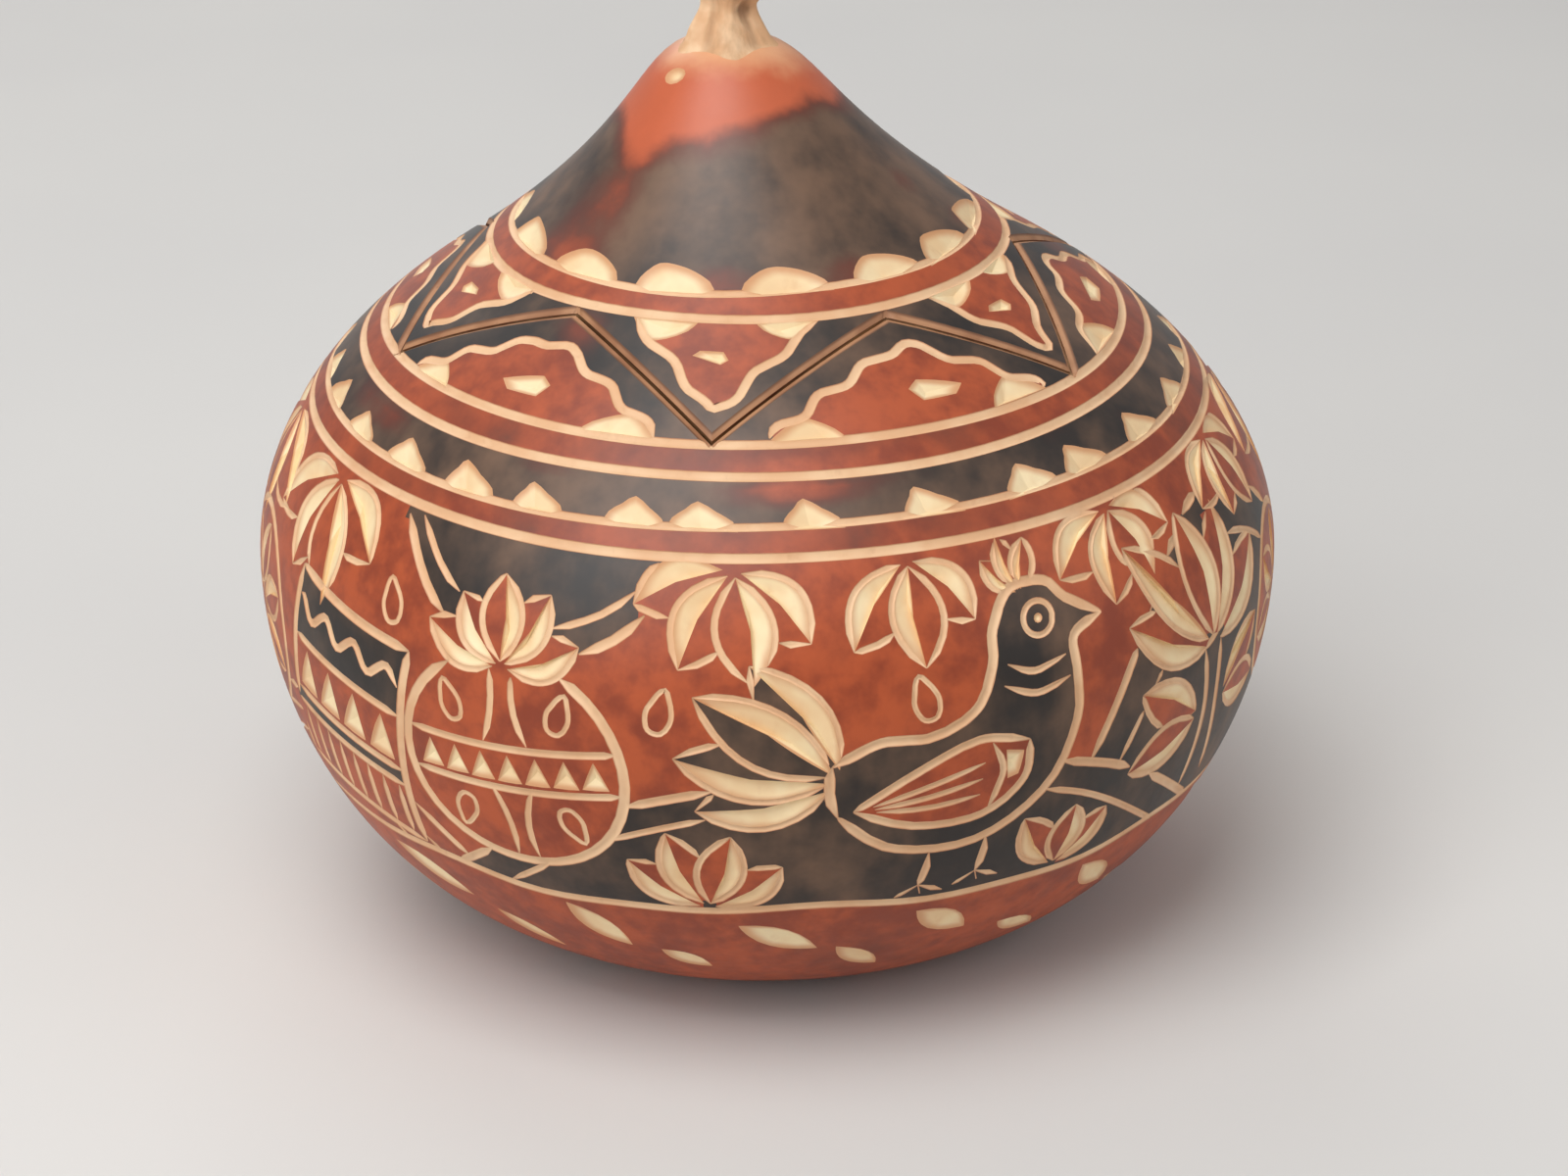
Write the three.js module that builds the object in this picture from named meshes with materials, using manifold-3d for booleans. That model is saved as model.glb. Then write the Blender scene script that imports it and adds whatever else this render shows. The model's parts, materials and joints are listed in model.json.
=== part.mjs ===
// A small gourd jar: a round, hollow gourd whose top is sawn off along a zigzag line,
// so that the neck and crown lift away as a lid, with the plant's stem as its knob.
// Millimetres, +Z up. The jar stands on its flat base at Z = 0, on the gourd's axis.
// Azimuth 0 is the front, facing -Y, and azimuths grow towards +X.
import * as THREE from 'three';
import { mergeVertices } from 'three/addons/utils/BufferGeometryUtils.js';
import Module from 'manifold-3d';

const wasm = await Module();
wasm.setup();

// Outer shape of the gourd: heights above the base and radii from its axis.
const BASE_RADIUS = 22; // flat that the jar stands on
const BODY_RADIUS = 55; // widest place
const BELLY_HEIGHT = 39; // height of the widest place
const SHOULDER_RADIUS = 31; // middle of the zigzag band, where the wall turns hollow
const SHOULDER_HEIGHT = 71.4;
const SHOULDER_SLOPE = 34; // degrees from level
const CROWN_HEIGHT = 95.5; // top of the gourd itself, under the stem
const CROWN_LEAN = 3.5; // how far the crown has grown over towards -X

// How strongly the outline holds its direction as it leaves each of those places.
const BASE_REACH = 19;
const BELLY_REACH_DOWN = 20;
const BELLY_REACH_UP = 18;
const SHOULDER_REACH = 5.6;
const NECK_REACH = 30;
const CROWN_REACH = 11;

const WALL = 4.2; // thickness of the dried shell

// The zigzag saw cut. Its low points lie below the shoulder and its high points above it.
const SEAM_LOW = 5.5;
const SEAM_HIGH = 2;
const SEAM_LOW_AZIMUTHS = [-71, -6, 57, 115, 173, 231]; // degrees, spaced by eye
const SEAM_HIGH_AZIMUTHS = [-38, 30, 86, 144, 202, 260];
const SEAM_PLAY = 0.7; // saw kerf, measured straight up

// The stem: a dry, bent stub on the crown with a spread foot.
// Heights are counted from the top of the crown.
const STEM_FOOT_RADIUS = 5.6;
const STEM_FOOT_DEPTH = 2.4; // how far the foot reaches down the crown's sides
const STEM_RADIUS = 3.1;
const STEM_WAIST_HEIGHT = 2.6;
const STEM_KNOT_RADIUS = 3.4; // swelling above the waist
const STEM_KNOT_HEIGHT = 5.2;
const STEM_TIP_RADIUS = 2.9;
const STEM_HEIGHT = 9;
const STEM_BEND = 1; // towards +X at the tip
const STEM_BREAK = 0.35; // rise of the broken end per millimetre across it
const STEM_SEAT_GAP = 0.3; // between the stem's foot and the crown, straight up

// How finely the round shapes are divided.
const ROUND_SEGMENTS = 60;
const STEM_SEGMENTS = 18;
const STRETCH_STEPS = 9; // per stretch of the outline
const SEAM_OVERSHOOT = 2.2; // how far past the shell the cutting surface runs

const shellMaterial = new THREE.MeshStandardMaterial({
  color: 0x8a3f26, roughness: 0.42, metalness: 0,
});
const lidMaterial = new THREE.MeshStandardMaterial({
  color: 0x4a342c, roughness: 0.42, metalness: 0,
});
const stemMaterial = new THREE.MeshStandardMaterial({
  color: 0xd2a878, roughness: 0.8, metalness: 0,
});

const radians = THREE.MathUtils.degToRad;

/** The outline of the gourd's outside, from the edge of its flat base to the crown. */
function outerOutline() {
  const slope = radians(SHOULDER_SLOPE);
  const uphill = new THREE.Vector2(-Math.cos(slope), Math.sin(slope));
  const base = new THREE.Vector2(BASE_RADIUS, 0);
  const belly = new THREE.Vector2(BODY_RADIUS, BELLY_HEIGHT);
  const shoulder = new THREE.Vector2(SHOULDER_RADIUS, SHOULDER_HEIGHT);
  const crown = new THREE.Vector2(0, CROWN_HEIGHT);
  const below = new THREE.CubicBezierCurve(
    base,
    new THREE.Vector2(BASE_RADIUS + BASE_REACH, 0),
    new THREE.Vector2(BODY_RADIUS, BELLY_HEIGHT - BELLY_REACH_DOWN),
    belly,
  );
  const above = new THREE.CubicBezierCurve(
    belly,
    new THREE.Vector2(BODY_RADIUS, BELLY_HEIGHT + BELLY_REACH_UP),
    shoulder.clone().addScaledVector(uphill, -SHOULDER_REACH),
    shoulder,
  );
  const neck = new THREE.CubicBezierCurve(
    shoulder,
    shoulder.clone().addScaledVector(uphill, NECK_REACH),
    new THREE.Vector2(CROWN_REACH, CROWN_HEIGHT),
    crown,
  );
  return [
    ...below.getPoints(STRETCH_STEPS),
    ...above.getPoints(STRETCH_STEPS).slice(1),
    ...neck.getPoints(STRETCH_STEPS).slice(1),
  ];
}

/** The same outline moved one wall inwards, kept above the floor of the hollow. */
function innerOutline(outer) {
  const inner = [];
  for (let i = 1; i < outer.length - 1; i += 1) {
    const along = outer[i + 1].clone().sub(outer[i - 1]).normalize();
    const point = outer[i].clone().add(new THREE.Vector2(-along.y, along.x).multiplyScalar(WALL));
    if (point.x > 0 && point.y > WALL) inner.push(point);
  }
  inner.push(new THREE.Vector2(0, CROWN_HEIGHT - WALL));
  return inner;
}

/** Sideways growth of the gourd at a height: none up to the belly, most at the crown. */
function leanAt(height) {
  const share = Math.max(0, (height - BELLY_HEIGHT) / (CROWN_HEIGHT - BELLY_HEIGHT));
  return -CROWN_LEAN * share ** 1.5;
}

/** Moves each vertex sideways by what the given function says for its height. */
function shear(geometry, offsetAt) {
  const position = geometry.getAttribute('position');
  for (let i = 0; i < position.count; i += 1) {
    position.setX(i, position.getX(i) + offsetAt(position.getZ(i)));
  }
  return geometry;
}

/** Turns a closed geometry into a solid, with shared vertices and no flat triangles. */
function toSolid(geometry) {
  const bare = geometry.clone();
  bare.deleteAttribute('normal');
  bare.deleteAttribute('uv');
  const merged = mergeVertices(bare);
  const index = merged.getIndex().array;
  const triangles = [];
  for (let i = 0; i < index.length; i += 3) {
    const [a, b, c] = index.slice(i, i + 3);
    if (a !== b && b !== c && c !== a) triangles.push(a, b, c);
  }
  return new wasm.Manifold(new wasm.Mesh({
    numProp: 3,
    vertProperties: new Float32Array(merged.getAttribute('position').array),
    triVerts: new Uint32Array(triangles),
  }));
}

/** Turns a solid back into a geometry. */
function toGeometry(solid) {
  const mesh = solid.getMesh();
  const geometry = new THREE.BufferGeometry();
  geometry.setAttribute('position', new THREE.BufferAttribute(mesh.vertProperties, 3));
  geometry.setIndex(new THREE.BufferAttribute(mesh.triVerts, 1));
  geometry.computeVertexNormals();
  return geometry;
}

/** A turned solid: the outline spun about the axis, closed by flat discs at its ends. */
function turned(outline, segments) {
  const bottom = new THREE.Vector2(0, outline[0].y);
  const lathe = new THREE.LatheGeometry([bottom, ...outline], segments);
  return lathe.rotateX(Math.PI / 2);
}

/** Radius of the outline at a height above the belly. */
function radiusAt(outline, height) {
  for (let i = 1; i < outline.length; i += 1) {
    const low = outline[i - 1];
    const high = outline[i];
    if (low.y <= height && height <= high.y && high.y > BELLY_HEIGHT) {
      return THREE.MathUtils.mapLinear(height, low.y, high.y, low.x, high.x);
    }
  }
  return 0;
}

/**
 * Everything above the zigzag cut, moved up by the given amount. The cut is made of flat
 * faces that meet inside the gourd, where the wall's own normals meet, so the cut stands
 * square to the wall and everything above it lifts straight up.
 */
function aboveTheSeam(outline, raised) {
  const slope = radians(SHOULDER_SLOPE);
  const apex = new THREE.Vector3(0, 0, SHOULDER_HEIGHT - SHOULDER_RADIUS / Math.tan(slope));
  const corners = [];
  for (let i = 0; i < SEAM_LOW_AZIMUTHS.length; i += 1) {
    corners.push([SEAM_LOW_AZIMUTHS[i], SHOULDER_HEIGHT - SEAM_LOW]);
    corners.push([SEAM_HIGH_AZIMUTHS[i], SHOULDER_HEIGHT + SEAM_HIGH]);
  }
  const rim = corners.map(([azimuth, height]) => {
    const radius = radiusAt(outline, height);
    const angle = radians(azimuth);
    const onWall = new THREE.Vector3(
      radius * Math.sin(angle) + leanAt(height),
      -radius * Math.cos(angle),
      height,
    );
    return onWall.sub(apex).multiplyScalar(SEAM_OVERSHOOT).add(apex);
  });
  const top = new THREE.Vector3(0, 0, SEAM_OVERSHOOT * (CROWN_HEIGHT + STEM_HEIGHT));
  const points = [apex, top, ...rim].map((point) => point.clone().setZ(point.z + raised));
  const index = [];
  for (let i = 0; i < rim.length; i += 1) {
    const here = 2 + i;
    const next = 2 + ((i + 1) % rim.length);
    index.push(0, next, here, 1, here, next);
  }
  const geometry = new THREE.BufferGeometry().setFromPoints(points);
  geometry.setIndex(index);
  return toSolid(geometry);
}

/** The stem before its foot is fitted to the crown: spread foot, shaft, knot, broken end. */
function stemBlank() {
  const tip = CROWN_HEIGHT + STEM_HEIGHT;
  const side = new THREE.SplineCurve([
    new THREE.Vector2(STEM_FOOT_RADIUS, CROWN_HEIGHT - STEM_FOOT_DEPTH),
    new THREE.Vector2((STEM_FOOT_RADIUS + STEM_RADIUS) / 2, CROWN_HEIGHT),
    new THREE.Vector2(STEM_RADIUS, CROWN_HEIGHT + STEM_WAIST_HEIGHT),
    new THREE.Vector2(STEM_KNOT_RADIUS, CROWN_HEIGHT + STEM_KNOT_HEIGHT),
    new THREE.Vector2(STEM_TIP_RADIUS, tip),
  ]);
  const outline = [...side.getPoints(STRETCH_STEPS), new THREE.Vector2(0, tip)];
  const blank = turned(outline, STEM_SEGMENTS);
  const position = blank.getAttribute('position');
  for (let i = 0; i < position.count; i += 1) {
    const share = (position.getZ(i) - CROWN_HEIGHT) / STEM_HEIGHT;
    const rise = STEM_BREAK * position.getX(i) * Math.max(0, share) ** 3;
    position.setX(i, position.getX(i) - CROWN_LEAN + STEM_BEND * Math.max(0, share) ** 2);
    position.setZ(i, position.getZ(i) + rise);
  }
  return blank;
}

/** A named piece of the jar. */
function piece(name, solid, material) {
  const mesh = new THREE.Mesh(toGeometry(solid), material);
  mesh.name = name;
  return mesh;
}

const outline = outerOutline();
const whole = toSolid(shear(turned(outline, ROUND_SEGMENTS), leanAt));
const hollow = toSolid(shear(turned(innerOutline(outline), ROUND_SEGMENTS), leanAt));
const shell = whole.subtract(hollow);
const bowl = shell.subtract(aboveTheSeam(outline, -SEAM_PLAY / 2));
const lid = shell.intersect(aboveTheSeam(outline, SEAM_PLAY / 2));
const stem = toSolid(stemBlank()).subtract(whole.translate([0, 0, STEM_SEAT_GAP]));

const jar = new THREE.Group();
const lidAssembly = new THREE.Group();
lidAssembly.add(piece('gourd_lid', lid, lidMaterial));
lidAssembly.add(piece('stem_stub', stem, stemMaterial));
jar.add(piece('gourd_bowl', bowl, shellMaterial));
jar.add(lidAssembly);

export default jar;
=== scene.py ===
"""A small carved gourd jar: a round dyed gourd whose crown lifts off along a zigzag saw cut.

Sizes are in millimetres until a mesh is written. A place on the wall is an azimuth in degrees,
0 at the front and growing to the right, and a climb, the length along the outline above the
edge of the flat base.
"""

import json
import logging
import math
import random
from dataclasses import dataclass, field
from enum import Enum
from typing import Callable, Sequence

import bmesh
import bpy
import numpy as np
from mathutils import Matrix, Vector

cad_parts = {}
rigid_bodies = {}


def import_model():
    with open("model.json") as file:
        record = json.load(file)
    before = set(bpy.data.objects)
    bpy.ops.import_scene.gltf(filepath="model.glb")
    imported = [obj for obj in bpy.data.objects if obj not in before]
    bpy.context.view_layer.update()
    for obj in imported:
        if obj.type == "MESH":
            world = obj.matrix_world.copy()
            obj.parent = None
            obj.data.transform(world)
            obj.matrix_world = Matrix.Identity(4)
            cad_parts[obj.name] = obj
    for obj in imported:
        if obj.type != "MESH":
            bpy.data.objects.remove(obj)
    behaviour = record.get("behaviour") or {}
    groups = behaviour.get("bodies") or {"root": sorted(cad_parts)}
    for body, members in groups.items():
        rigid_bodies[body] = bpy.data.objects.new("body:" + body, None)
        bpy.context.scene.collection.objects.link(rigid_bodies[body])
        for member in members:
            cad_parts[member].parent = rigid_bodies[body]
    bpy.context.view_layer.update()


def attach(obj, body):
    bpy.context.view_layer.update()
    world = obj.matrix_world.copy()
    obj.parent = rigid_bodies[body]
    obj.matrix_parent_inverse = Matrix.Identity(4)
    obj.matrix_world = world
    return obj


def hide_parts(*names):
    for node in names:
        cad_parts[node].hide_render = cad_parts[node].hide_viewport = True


log = logging.getLogger("gourd_jar")

MM = 0.001
SEED = 11
RED, BLACK = 0.0, 1.0  # how dark the rind is scorched
RING_STEPS, RING_DEPTH = 240, 0.44
LINE_DEPTH, LINE_DEPTH_BY_WIDTH = 0.16, 0.24
LINE_TAPER, BORDER_TAPER, CUT_TAPER = 2.2, 1.2, 0.8  # over what length a groove runs out
TOUCH = 1e-3  # so near the table that it stands on it

Point = tuple[float, float]
Curve = list[Point]
Colour = tuple[float, ...]
Array = np.ndarray
Mesh = bmesh.types.BMesh
Socket = bpy.types.NodeSocket


class Surface(Enum):
    """What a face of a shell shows, and so which material slot dresses it."""

    RIND = 0
    GROOVE = 1
    CHIP = 2
    KERF = 3
    SAWN = 4
    PITH = 5


def near(index: int, count: int, closed: bool = False) -> int:
    """An index brought back into a list: round a closed curve, held at the ends of an open one."""
    return index % count if closed else min(max(index, 0), count - 1)


def half_turn(degrees: float | Array) -> float | Array:
    """An angle brought to between -180 and 180 degrees."""
    return (degrees + 180) % 360 - 180


def polar(centre: Point, reach: float, turn: float) -> Point:
    """The point at a reach from a centre, at a turn in radians from the right."""
    return (centre[0] + reach * math.cos(turn), centre[1] + reach * math.sin(turn))


def bow(start: Point, end: Point, bulge: float = 0.0, step: float = 0.6) -> Curve:
    """A shallow arc from one point to another.

    Args:
        start: First point.
        end: Last point.
        bulge: How far its middle stands off the straight line, to the left of its way.
        step: Spacing of its points.

    Returns:
        The arc's points, ends included.
    """
    run, rise = end[0] - start[0], end[1] - start[1]
    reach = math.hypot(run, rise) or 1.0
    count = max(2, round((reach + abs(bulge)) / step))
    points = []
    for i in range(count + 1):
        share = i / count
        off = 4 * bulge * share * (1 - share) / reach
        points.append((start[0] + run * share - rise * off, start[1] + rise * share + run * off))
    return points


def loop(corners: Sequence[Point], bulge: float = 0.0) -> list[Curve]:
    """The sides of a closed shape, one bow between each two corners."""
    return [bow(a, b, bulge) for a, b in zip(corners, [*corners[1:], corners[0]])]


def flow(knots: Sequence[Point], closed: bool = False, step: float = 0.6) -> Curve:
    """A smooth curve through the given knots.

    Args:
        knots: Points that the curve passes through.
        closed: Whether it comes back to the first knot.
        step: Spacing of its points.

    Returns:
        The curve's points. A closed one doesn't repeat its first point.
    """
    count = len(knots)
    points: Curve = []
    for i in range(count if closed else count - 1):
        four = [knots[near(i + k, count, closed)] for k in (-1, 0, 1, 2)]
        pieces = max(2, round(math.dist(four[1], four[2]) / step))
        for t in (k / pieces for k in range(pieces)):
            weights = (-0.5 * t + t * t - 0.5 * t**3, 1 - 2.5 * t * t + 1.5 * t**3,
                       0.5 * t + 2 * t * t - 1.5 * t**3, -0.5 * t * t + 0.5 * t**3)
            points.append(tuple(sum(w * p[axis] for w, p in zip(weights, four))
                                for axis in (0, 1)))
    return points if closed else [*points, knots[-1]]


def oval(centre: Point, wide: float, high: float, step: float = 0.5) -> Curve:
    """A closed ellipse of the given half sizes."""
    count = max(10, round(math.pi * (wide + high) / step))
    return [(centre[0] + wide * math.cos(a), centre[1] + high * math.sin(a))
            for a in (2 * math.pi * i / count for i in range(count))]


def ripple(curve: Curve, height: float, length: float, phase: float = 0.0) -> Curve:
    """The curve with small waves across its way.

    Args:
        curve: An open curve.
        height: Half the waves' height.
        length: Length of one wave.
        phase: Where in a wave it starts, in turns.

    Returns:
        The waved curve.
    """
    points, travelled = [], 0.0
    for i, (x, y) in enumerate(curve):
        before, after = (curve[near(i + k, len(curve))] for k in (-1, 1))
        if i:
            travelled += math.dist(curve[i - 1], curve[i])
        reach = math.dist(before, after) or 1.0
        off = height * math.sin(2 * math.pi * (travelled / length + phase))
        points.append((x - (after[1] - before[1]) / reach * off,
                       y + (after[0] - before[0]) / reach * off))
    return points


def turned(curve: Curve, degrees: float, pivot: Point) -> Curve:
    """The curve turned about the origin and moved to a pivot."""
    c, s = math.cos(math.radians(degrees)), math.sin(math.radians(degrees))
    return [(pivot[0] + c * x - s * y, pivot[1] + s * x + c * y) for x, y in curve]


def inside(polygon: Sequence[Point], xs: Array, ys: Array) -> Array:
    """Which places lie inside a polygon.

    Args:
        polygon: Its corners in order.
        xs: The places' x.
        ys: The places' y.

    Returns:
        True or false for each place.
    """
    hit = np.zeros(xs.shape, bool)
    ax, ay = polygon[-1]
    for bx, by in polygon:
        if ay != by:
            crosses = (ay > ys) != (by > ys)
            hit ^= crosses & (xs < (bx - ax) * (ys - ay) / (by - ay) + ax)
        ax, ay = bx, by
    return hit


def extrude(bm: Mesh, edges: Sequence[bmesh.types.BMEdge]) -> tuple[list, list]:
    """Extrudes edges.

    Args:
        bm: Their mesh.
        edges: The edges.

    Returns:
        The new vertices, and the new edges between them.
    """
    grown = bmesh.ops.extrude_edge_only(bm, edges=edges)["geom"]
    fresh = [g for g in grown if isinstance(g, bmesh.types.BMVert)]
    return fresh, [g for g in grown if isinstance(g, bmesh.types.BMEdge)
                   and all(v in fresh for v in g.verts)]


def link(made: bpy.types.Object, group: bpy.types.Collection | None = None) -> bpy.types.Object:
    """Puts an object into a collection, or else straight into the scene."""
    (group or bpy.context.scene.collection).objects.link(made)
    return made


def model(name: str, bm: Mesh, finish: bpy.types.Material,
          group: bpy.types.Collection | None = None) -> bpy.types.Object:
    """Makes an object of a mesh.

    Args:
        name: Its name.
        bm: The mesh in millimetres, which is freed.
        finish: What it is dressed in.
        group: The collection it goes into, or None for the scene itself.

    Returns:
        The object, in metres.
    """
    bmesh.ops.scale(bm, vec=(MM, MM, MM), verts=bm.verts)
    mesh = bpy.data.meshes.new(name)
    bm.to_mesh(mesh)
    bm.free()
    mesh.materials.append(finish)
    return link(bpy.data.objects.new(name, mesh), group)


@dataclass
class GourdForm:
    """The outside of the gourd: an outline about the upright axis, with a crown that leans."""

    base_radius: float = 22.0
    body_radius: float = 55.0
    belly_height: float = 39.0
    shoulder_radius: float = 31.0
    shoulder_height: float = 71.4
    shoulder_slope: float = 34.0
    crown_height: float = 95.5
    crown_lean: float = 3.5
    lean_power: float = 1.5
    base_reach: float = 19.0
    belly_reach_down: float = 20.0
    belly_reach_up: float = 18.0
    shoulder_reach: float = 5.6
    neck_reach: float = 30.0
    crown_reach: float = 11.0
    samples: int = 1200
    fineness: float = 0.1
    margin: float = 0.5
    thinnest: float = 0.3
    search_step: int = 5
    search_block: int = 20000

    def __post_init__(self) -> None:
        """Samples the three stretches of the outline evenly along their length."""
        slope = math.radians(self.shoulder_slope)
        uphill = np.array((-math.cos(slope), math.sin(slope)))
        shoulder = np.array((self.shoulder_radius, self.shoulder_height))
        belly = (self.body_radius, self.belly_height)
        stretches = (
            ((self.base_radius, 0), (self.base_radius + self.base_reach, 0),
             (self.body_radius, self.belly_height - self.belly_reach_down), belly),
            (belly, (self.body_radius, self.belly_height + self.belly_reach_up),
             shoulder - self.shoulder_reach * uphill, shoulder),
            (shoulder, shoulder + self.neck_reach * uphill,
             (self.crown_reach, self.crown_height), (0, self.crown_height)),
        )
        t = np.linspace(0, 1, self.samples)[:, None]
        runs = []
        for stretch in stretches:
            a, b, c, d = (np.array(p, float) for p in stretch)
            runs.append((1 - t) ** 3 * a + 3 * (1 - t) ** 2 * t * b + 3 * (1 - t) * t * t * c
                        + t**3 * d)
        line = np.vstack([runs[0], runs[1][1:], runs[2][1:]])
        travelled = np.concatenate([[0], np.cumsum(np.hypot(*np.diff(line, axis=0).T))])
        self.length = float(travelled[-1])
        self.arcs = np.linspace(0, self.length, round(self.length / self.fineness))
        self.radii = np.interp(self.arcs, travelled, line[:, 0])
        self.heights = np.interp(self.arcs, travelled, line[:, 1])
        along = np.stack([np.gradient(self.radii, self.arcs),
                          np.gradient(self.heights, self.arcs)])
        along /= np.hypot(*along)
        self.out_r, self.out_z = along[1], -along[0]
        self.rise = self.crown_height - self.belly_height

    def climb(self, height: float) -> float:
        """Climb of the place on the wall at a height."""
        return float(np.interp(height, self.heights, self.arcs))

    def at(self, climbs: float | Array, *tables: Array) -> list:
        """What each of the outline's tables says at the given climbs."""
        return [np.interp(climbs, self.arcs, table) for table in tables]

    def grown(self, height: float | Array) -> float | Array:
        """How far a height lies from the belly up to the crown, as a share."""
        return np.maximum(0, (height - self.belly_height) / self.rise)

    def lean(self, height: float | Array) -> float | Array:
        """Sideways growth at a height: none up to the belly, most at the crown."""
        return -self.crown_lean * self.grown(height) ** self.lean_power

    def section(self, climb: float, out: float = 0.0) -> Point:
        """Radius and height of the wall at a climb, or out from it by the given amount."""
        radius, height, out_r, out_z = map(float, self.at(climb, self.radii, self.heights,
                                                          self.out_r, self.out_z))
        return radius + out * out_r, height + out * out_z

    def point(self, azimuth: float, climb: float, out: float = 0.0) -> Vector:
        """A place on the wall, or out from it by the given amount."""
        turn, (radius, height) = math.radians(azimuth), self.section(climb, out)
        return Vector((radius * math.sin(turn) + float(self.lean(height)),
                       -radius * math.cos(turn), height))

    def normals(self, azimuths: Array, climbs: Array) -> Array:
        """The wall's outward directions.

        Args:
            azimuths: Azimuths of the places.
            climbs: Climbs of the same places.

        Returns:
            One unit vector a row.
        """
        turns = np.radians(azimuths)
        out_r, out_z, heights = self.at(climbs, self.out_r, self.out_z, self.heights)
        shear = -self.crown_lean * self.lean_power * np.sqrt(self.grown(heights)) / self.rise
        x = out_r * np.sin(turns)
        found = np.stack([x, -out_r * np.cos(turns), out_z - shear * x], axis=1)
        return found / np.linalg.norm(found, axis=1)[:, None]

    def locate(self, places: Array) -> tuple[Array, Array, Array]:
        """The wall's nearest places to points in space.

        Args:
            places: Points, one a row.

        Returns:
            Their azimuths, climbs and depths below the outside.
        """
        x = places[:, 0] - self.lean(places[:, 2])
        azimuths = np.degrees(np.arctan2(x, -places[:, 1]))
        out, up = np.hypot(x, places[:, 1]), places[:, 2]
        radii, heights = self.radii[::self.search_step], self.heights[::self.search_step]
        nearest = np.empty(len(places), int)
        for start in range(0, len(places), self.search_block):
            part = slice(start, start + self.search_block)
            nearest[part] = self.search_step * np.argmin(
                (out[part, None] - radii) ** 2 + (up[part, None] - heights) ** 2, axis=1)
        dr, dz = out - self.radii[nearest], up - self.heights[nearest]
        n_r, n_z = self.out_r[nearest], self.out_z[nearest]
        climbs = np.clip(self.arcs[nearest] - dr * n_z + dz * n_r, 0, self.length)
        return azimuths, climbs, -(dr * n_r + dz * n_z)

    def solid(self, rows: int, columns: int, inset: float = 0.0) -> Mesh:
        """The gourd as a closed solid.

        Args:
            rows: Steps along the outline.
            columns: Steps round the axis.
            inset: How far inside the outside its skin lies.

        Returns:
            Its mesh.
        """
        line = [self.section(arc, -inset) for arc in np.linspace(0, self.length, rows)]
        line = [(0.0, inset), *((r, z) for r, z in line if r > self.thinnest and z >= inset),
                (0.0, self.crown_height - inset)]
        bm = bmesh.new()
        corners = [bm.verts.new((r, 0.0, z)) for r, z in line]
        edges = [bm.edges.new(pair) for pair in zip(corners, corners[1:])]
        bmesh.ops.spin(bm, geom=corners + edges, cent=(0, 0, 0), axis=(0, 0, 1),
                       angle=2 * math.pi, steps=columns, use_merge=True)
        bmesh.ops.remove_doubles(bm, verts=bm.verts, dist=1e-4)
        bmesh.ops.dissolve_degenerate(bm, dist=1e-5, edges=bm.edges)
        bmesh.ops.recalc_face_normals(bm, faces=bm.faces)
        for vert in bm.verts:
            vert.co.x += float(self.lean(vert.co.z))
        return bm


@dataclass
class Groove:
    """One pass of the gouge along the wall."""

    path: Curve
    width: float
    depth: float
    closed: bool = False
    taper: float = LINE_TAPER
    leaves: Surface = Surface.GROOVE


@dataclass
class Chip:
    """A piece of rind popped out: flat sides that fall from an outline to one deep point."""

    outline: Curve
    deepest: Point
    depth: float


@dataclass
class Carving:
    """Everything cut into or dyed on one piece, laid down in order, with the hand's dice."""

    form: GourdForm
    dice: random.Random
    grooves: list[Groove] = field(default_factory=list)
    chips: list[Chip] = field(default_factory=list)
    areas: list["Area"] = field(default_factory=list)
    lowest: Callable[[Array], Array] | None = None

    def clear(self, covers: Callable[[Array, Array], Array]) -> None:
        """Takes away the grooves and chips on a part of the wall.

        Args:
            covers: Says which azimuths and climbs that part covers.
        """
        kept = []
        for groove in self.grooves:
            places = np.array(groove.path)
            covered = covers(places[:, 0], places[:, 1])
            if not covered.any():
                kept.append(groove)
                continue
            path = groove.path
            if groove.closed:
                first = int(np.argmax(covered))
                path = path[first:] + path[:first]
                covered = np.roll(covered, -first)
            run: Curve = []
            for place, hidden in [*zip(path, covered), (path[0], True)]:
                if not hidden:
                    run.append(place)
                    continue
                if len(run) > 2:
                    kept.append(Groove(run, groove.width, groove.depth, False, CUT_TAPER,
                                       groove.leaves))
                run = []
        self.grooves = kept
        self.chips = [c for c in self.chips
                      if not covers(np.array([c.deepest[0]]), np.array([c.deepest[1]]))[0]]

    def darkness(self, azimuths: Array, climbs: Array, start: Array) -> Array:
        """How dark places on the wall are, from their ground dye and the areas over it.

        Args:
            azimuths: Azimuths of the places.
            climbs: Their climbs.
            start: How dark the ground is there.

        Returns:
            How dark each place is.
        """
        dark = start.copy()
        for area in self.areas:
            dark[area.holds(azimuths, climbs)] = area.dark
        if self.lowest:
            below = climbs < self.lowest(azimuths)
            dark[below] = start[below]
        return dark


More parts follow.
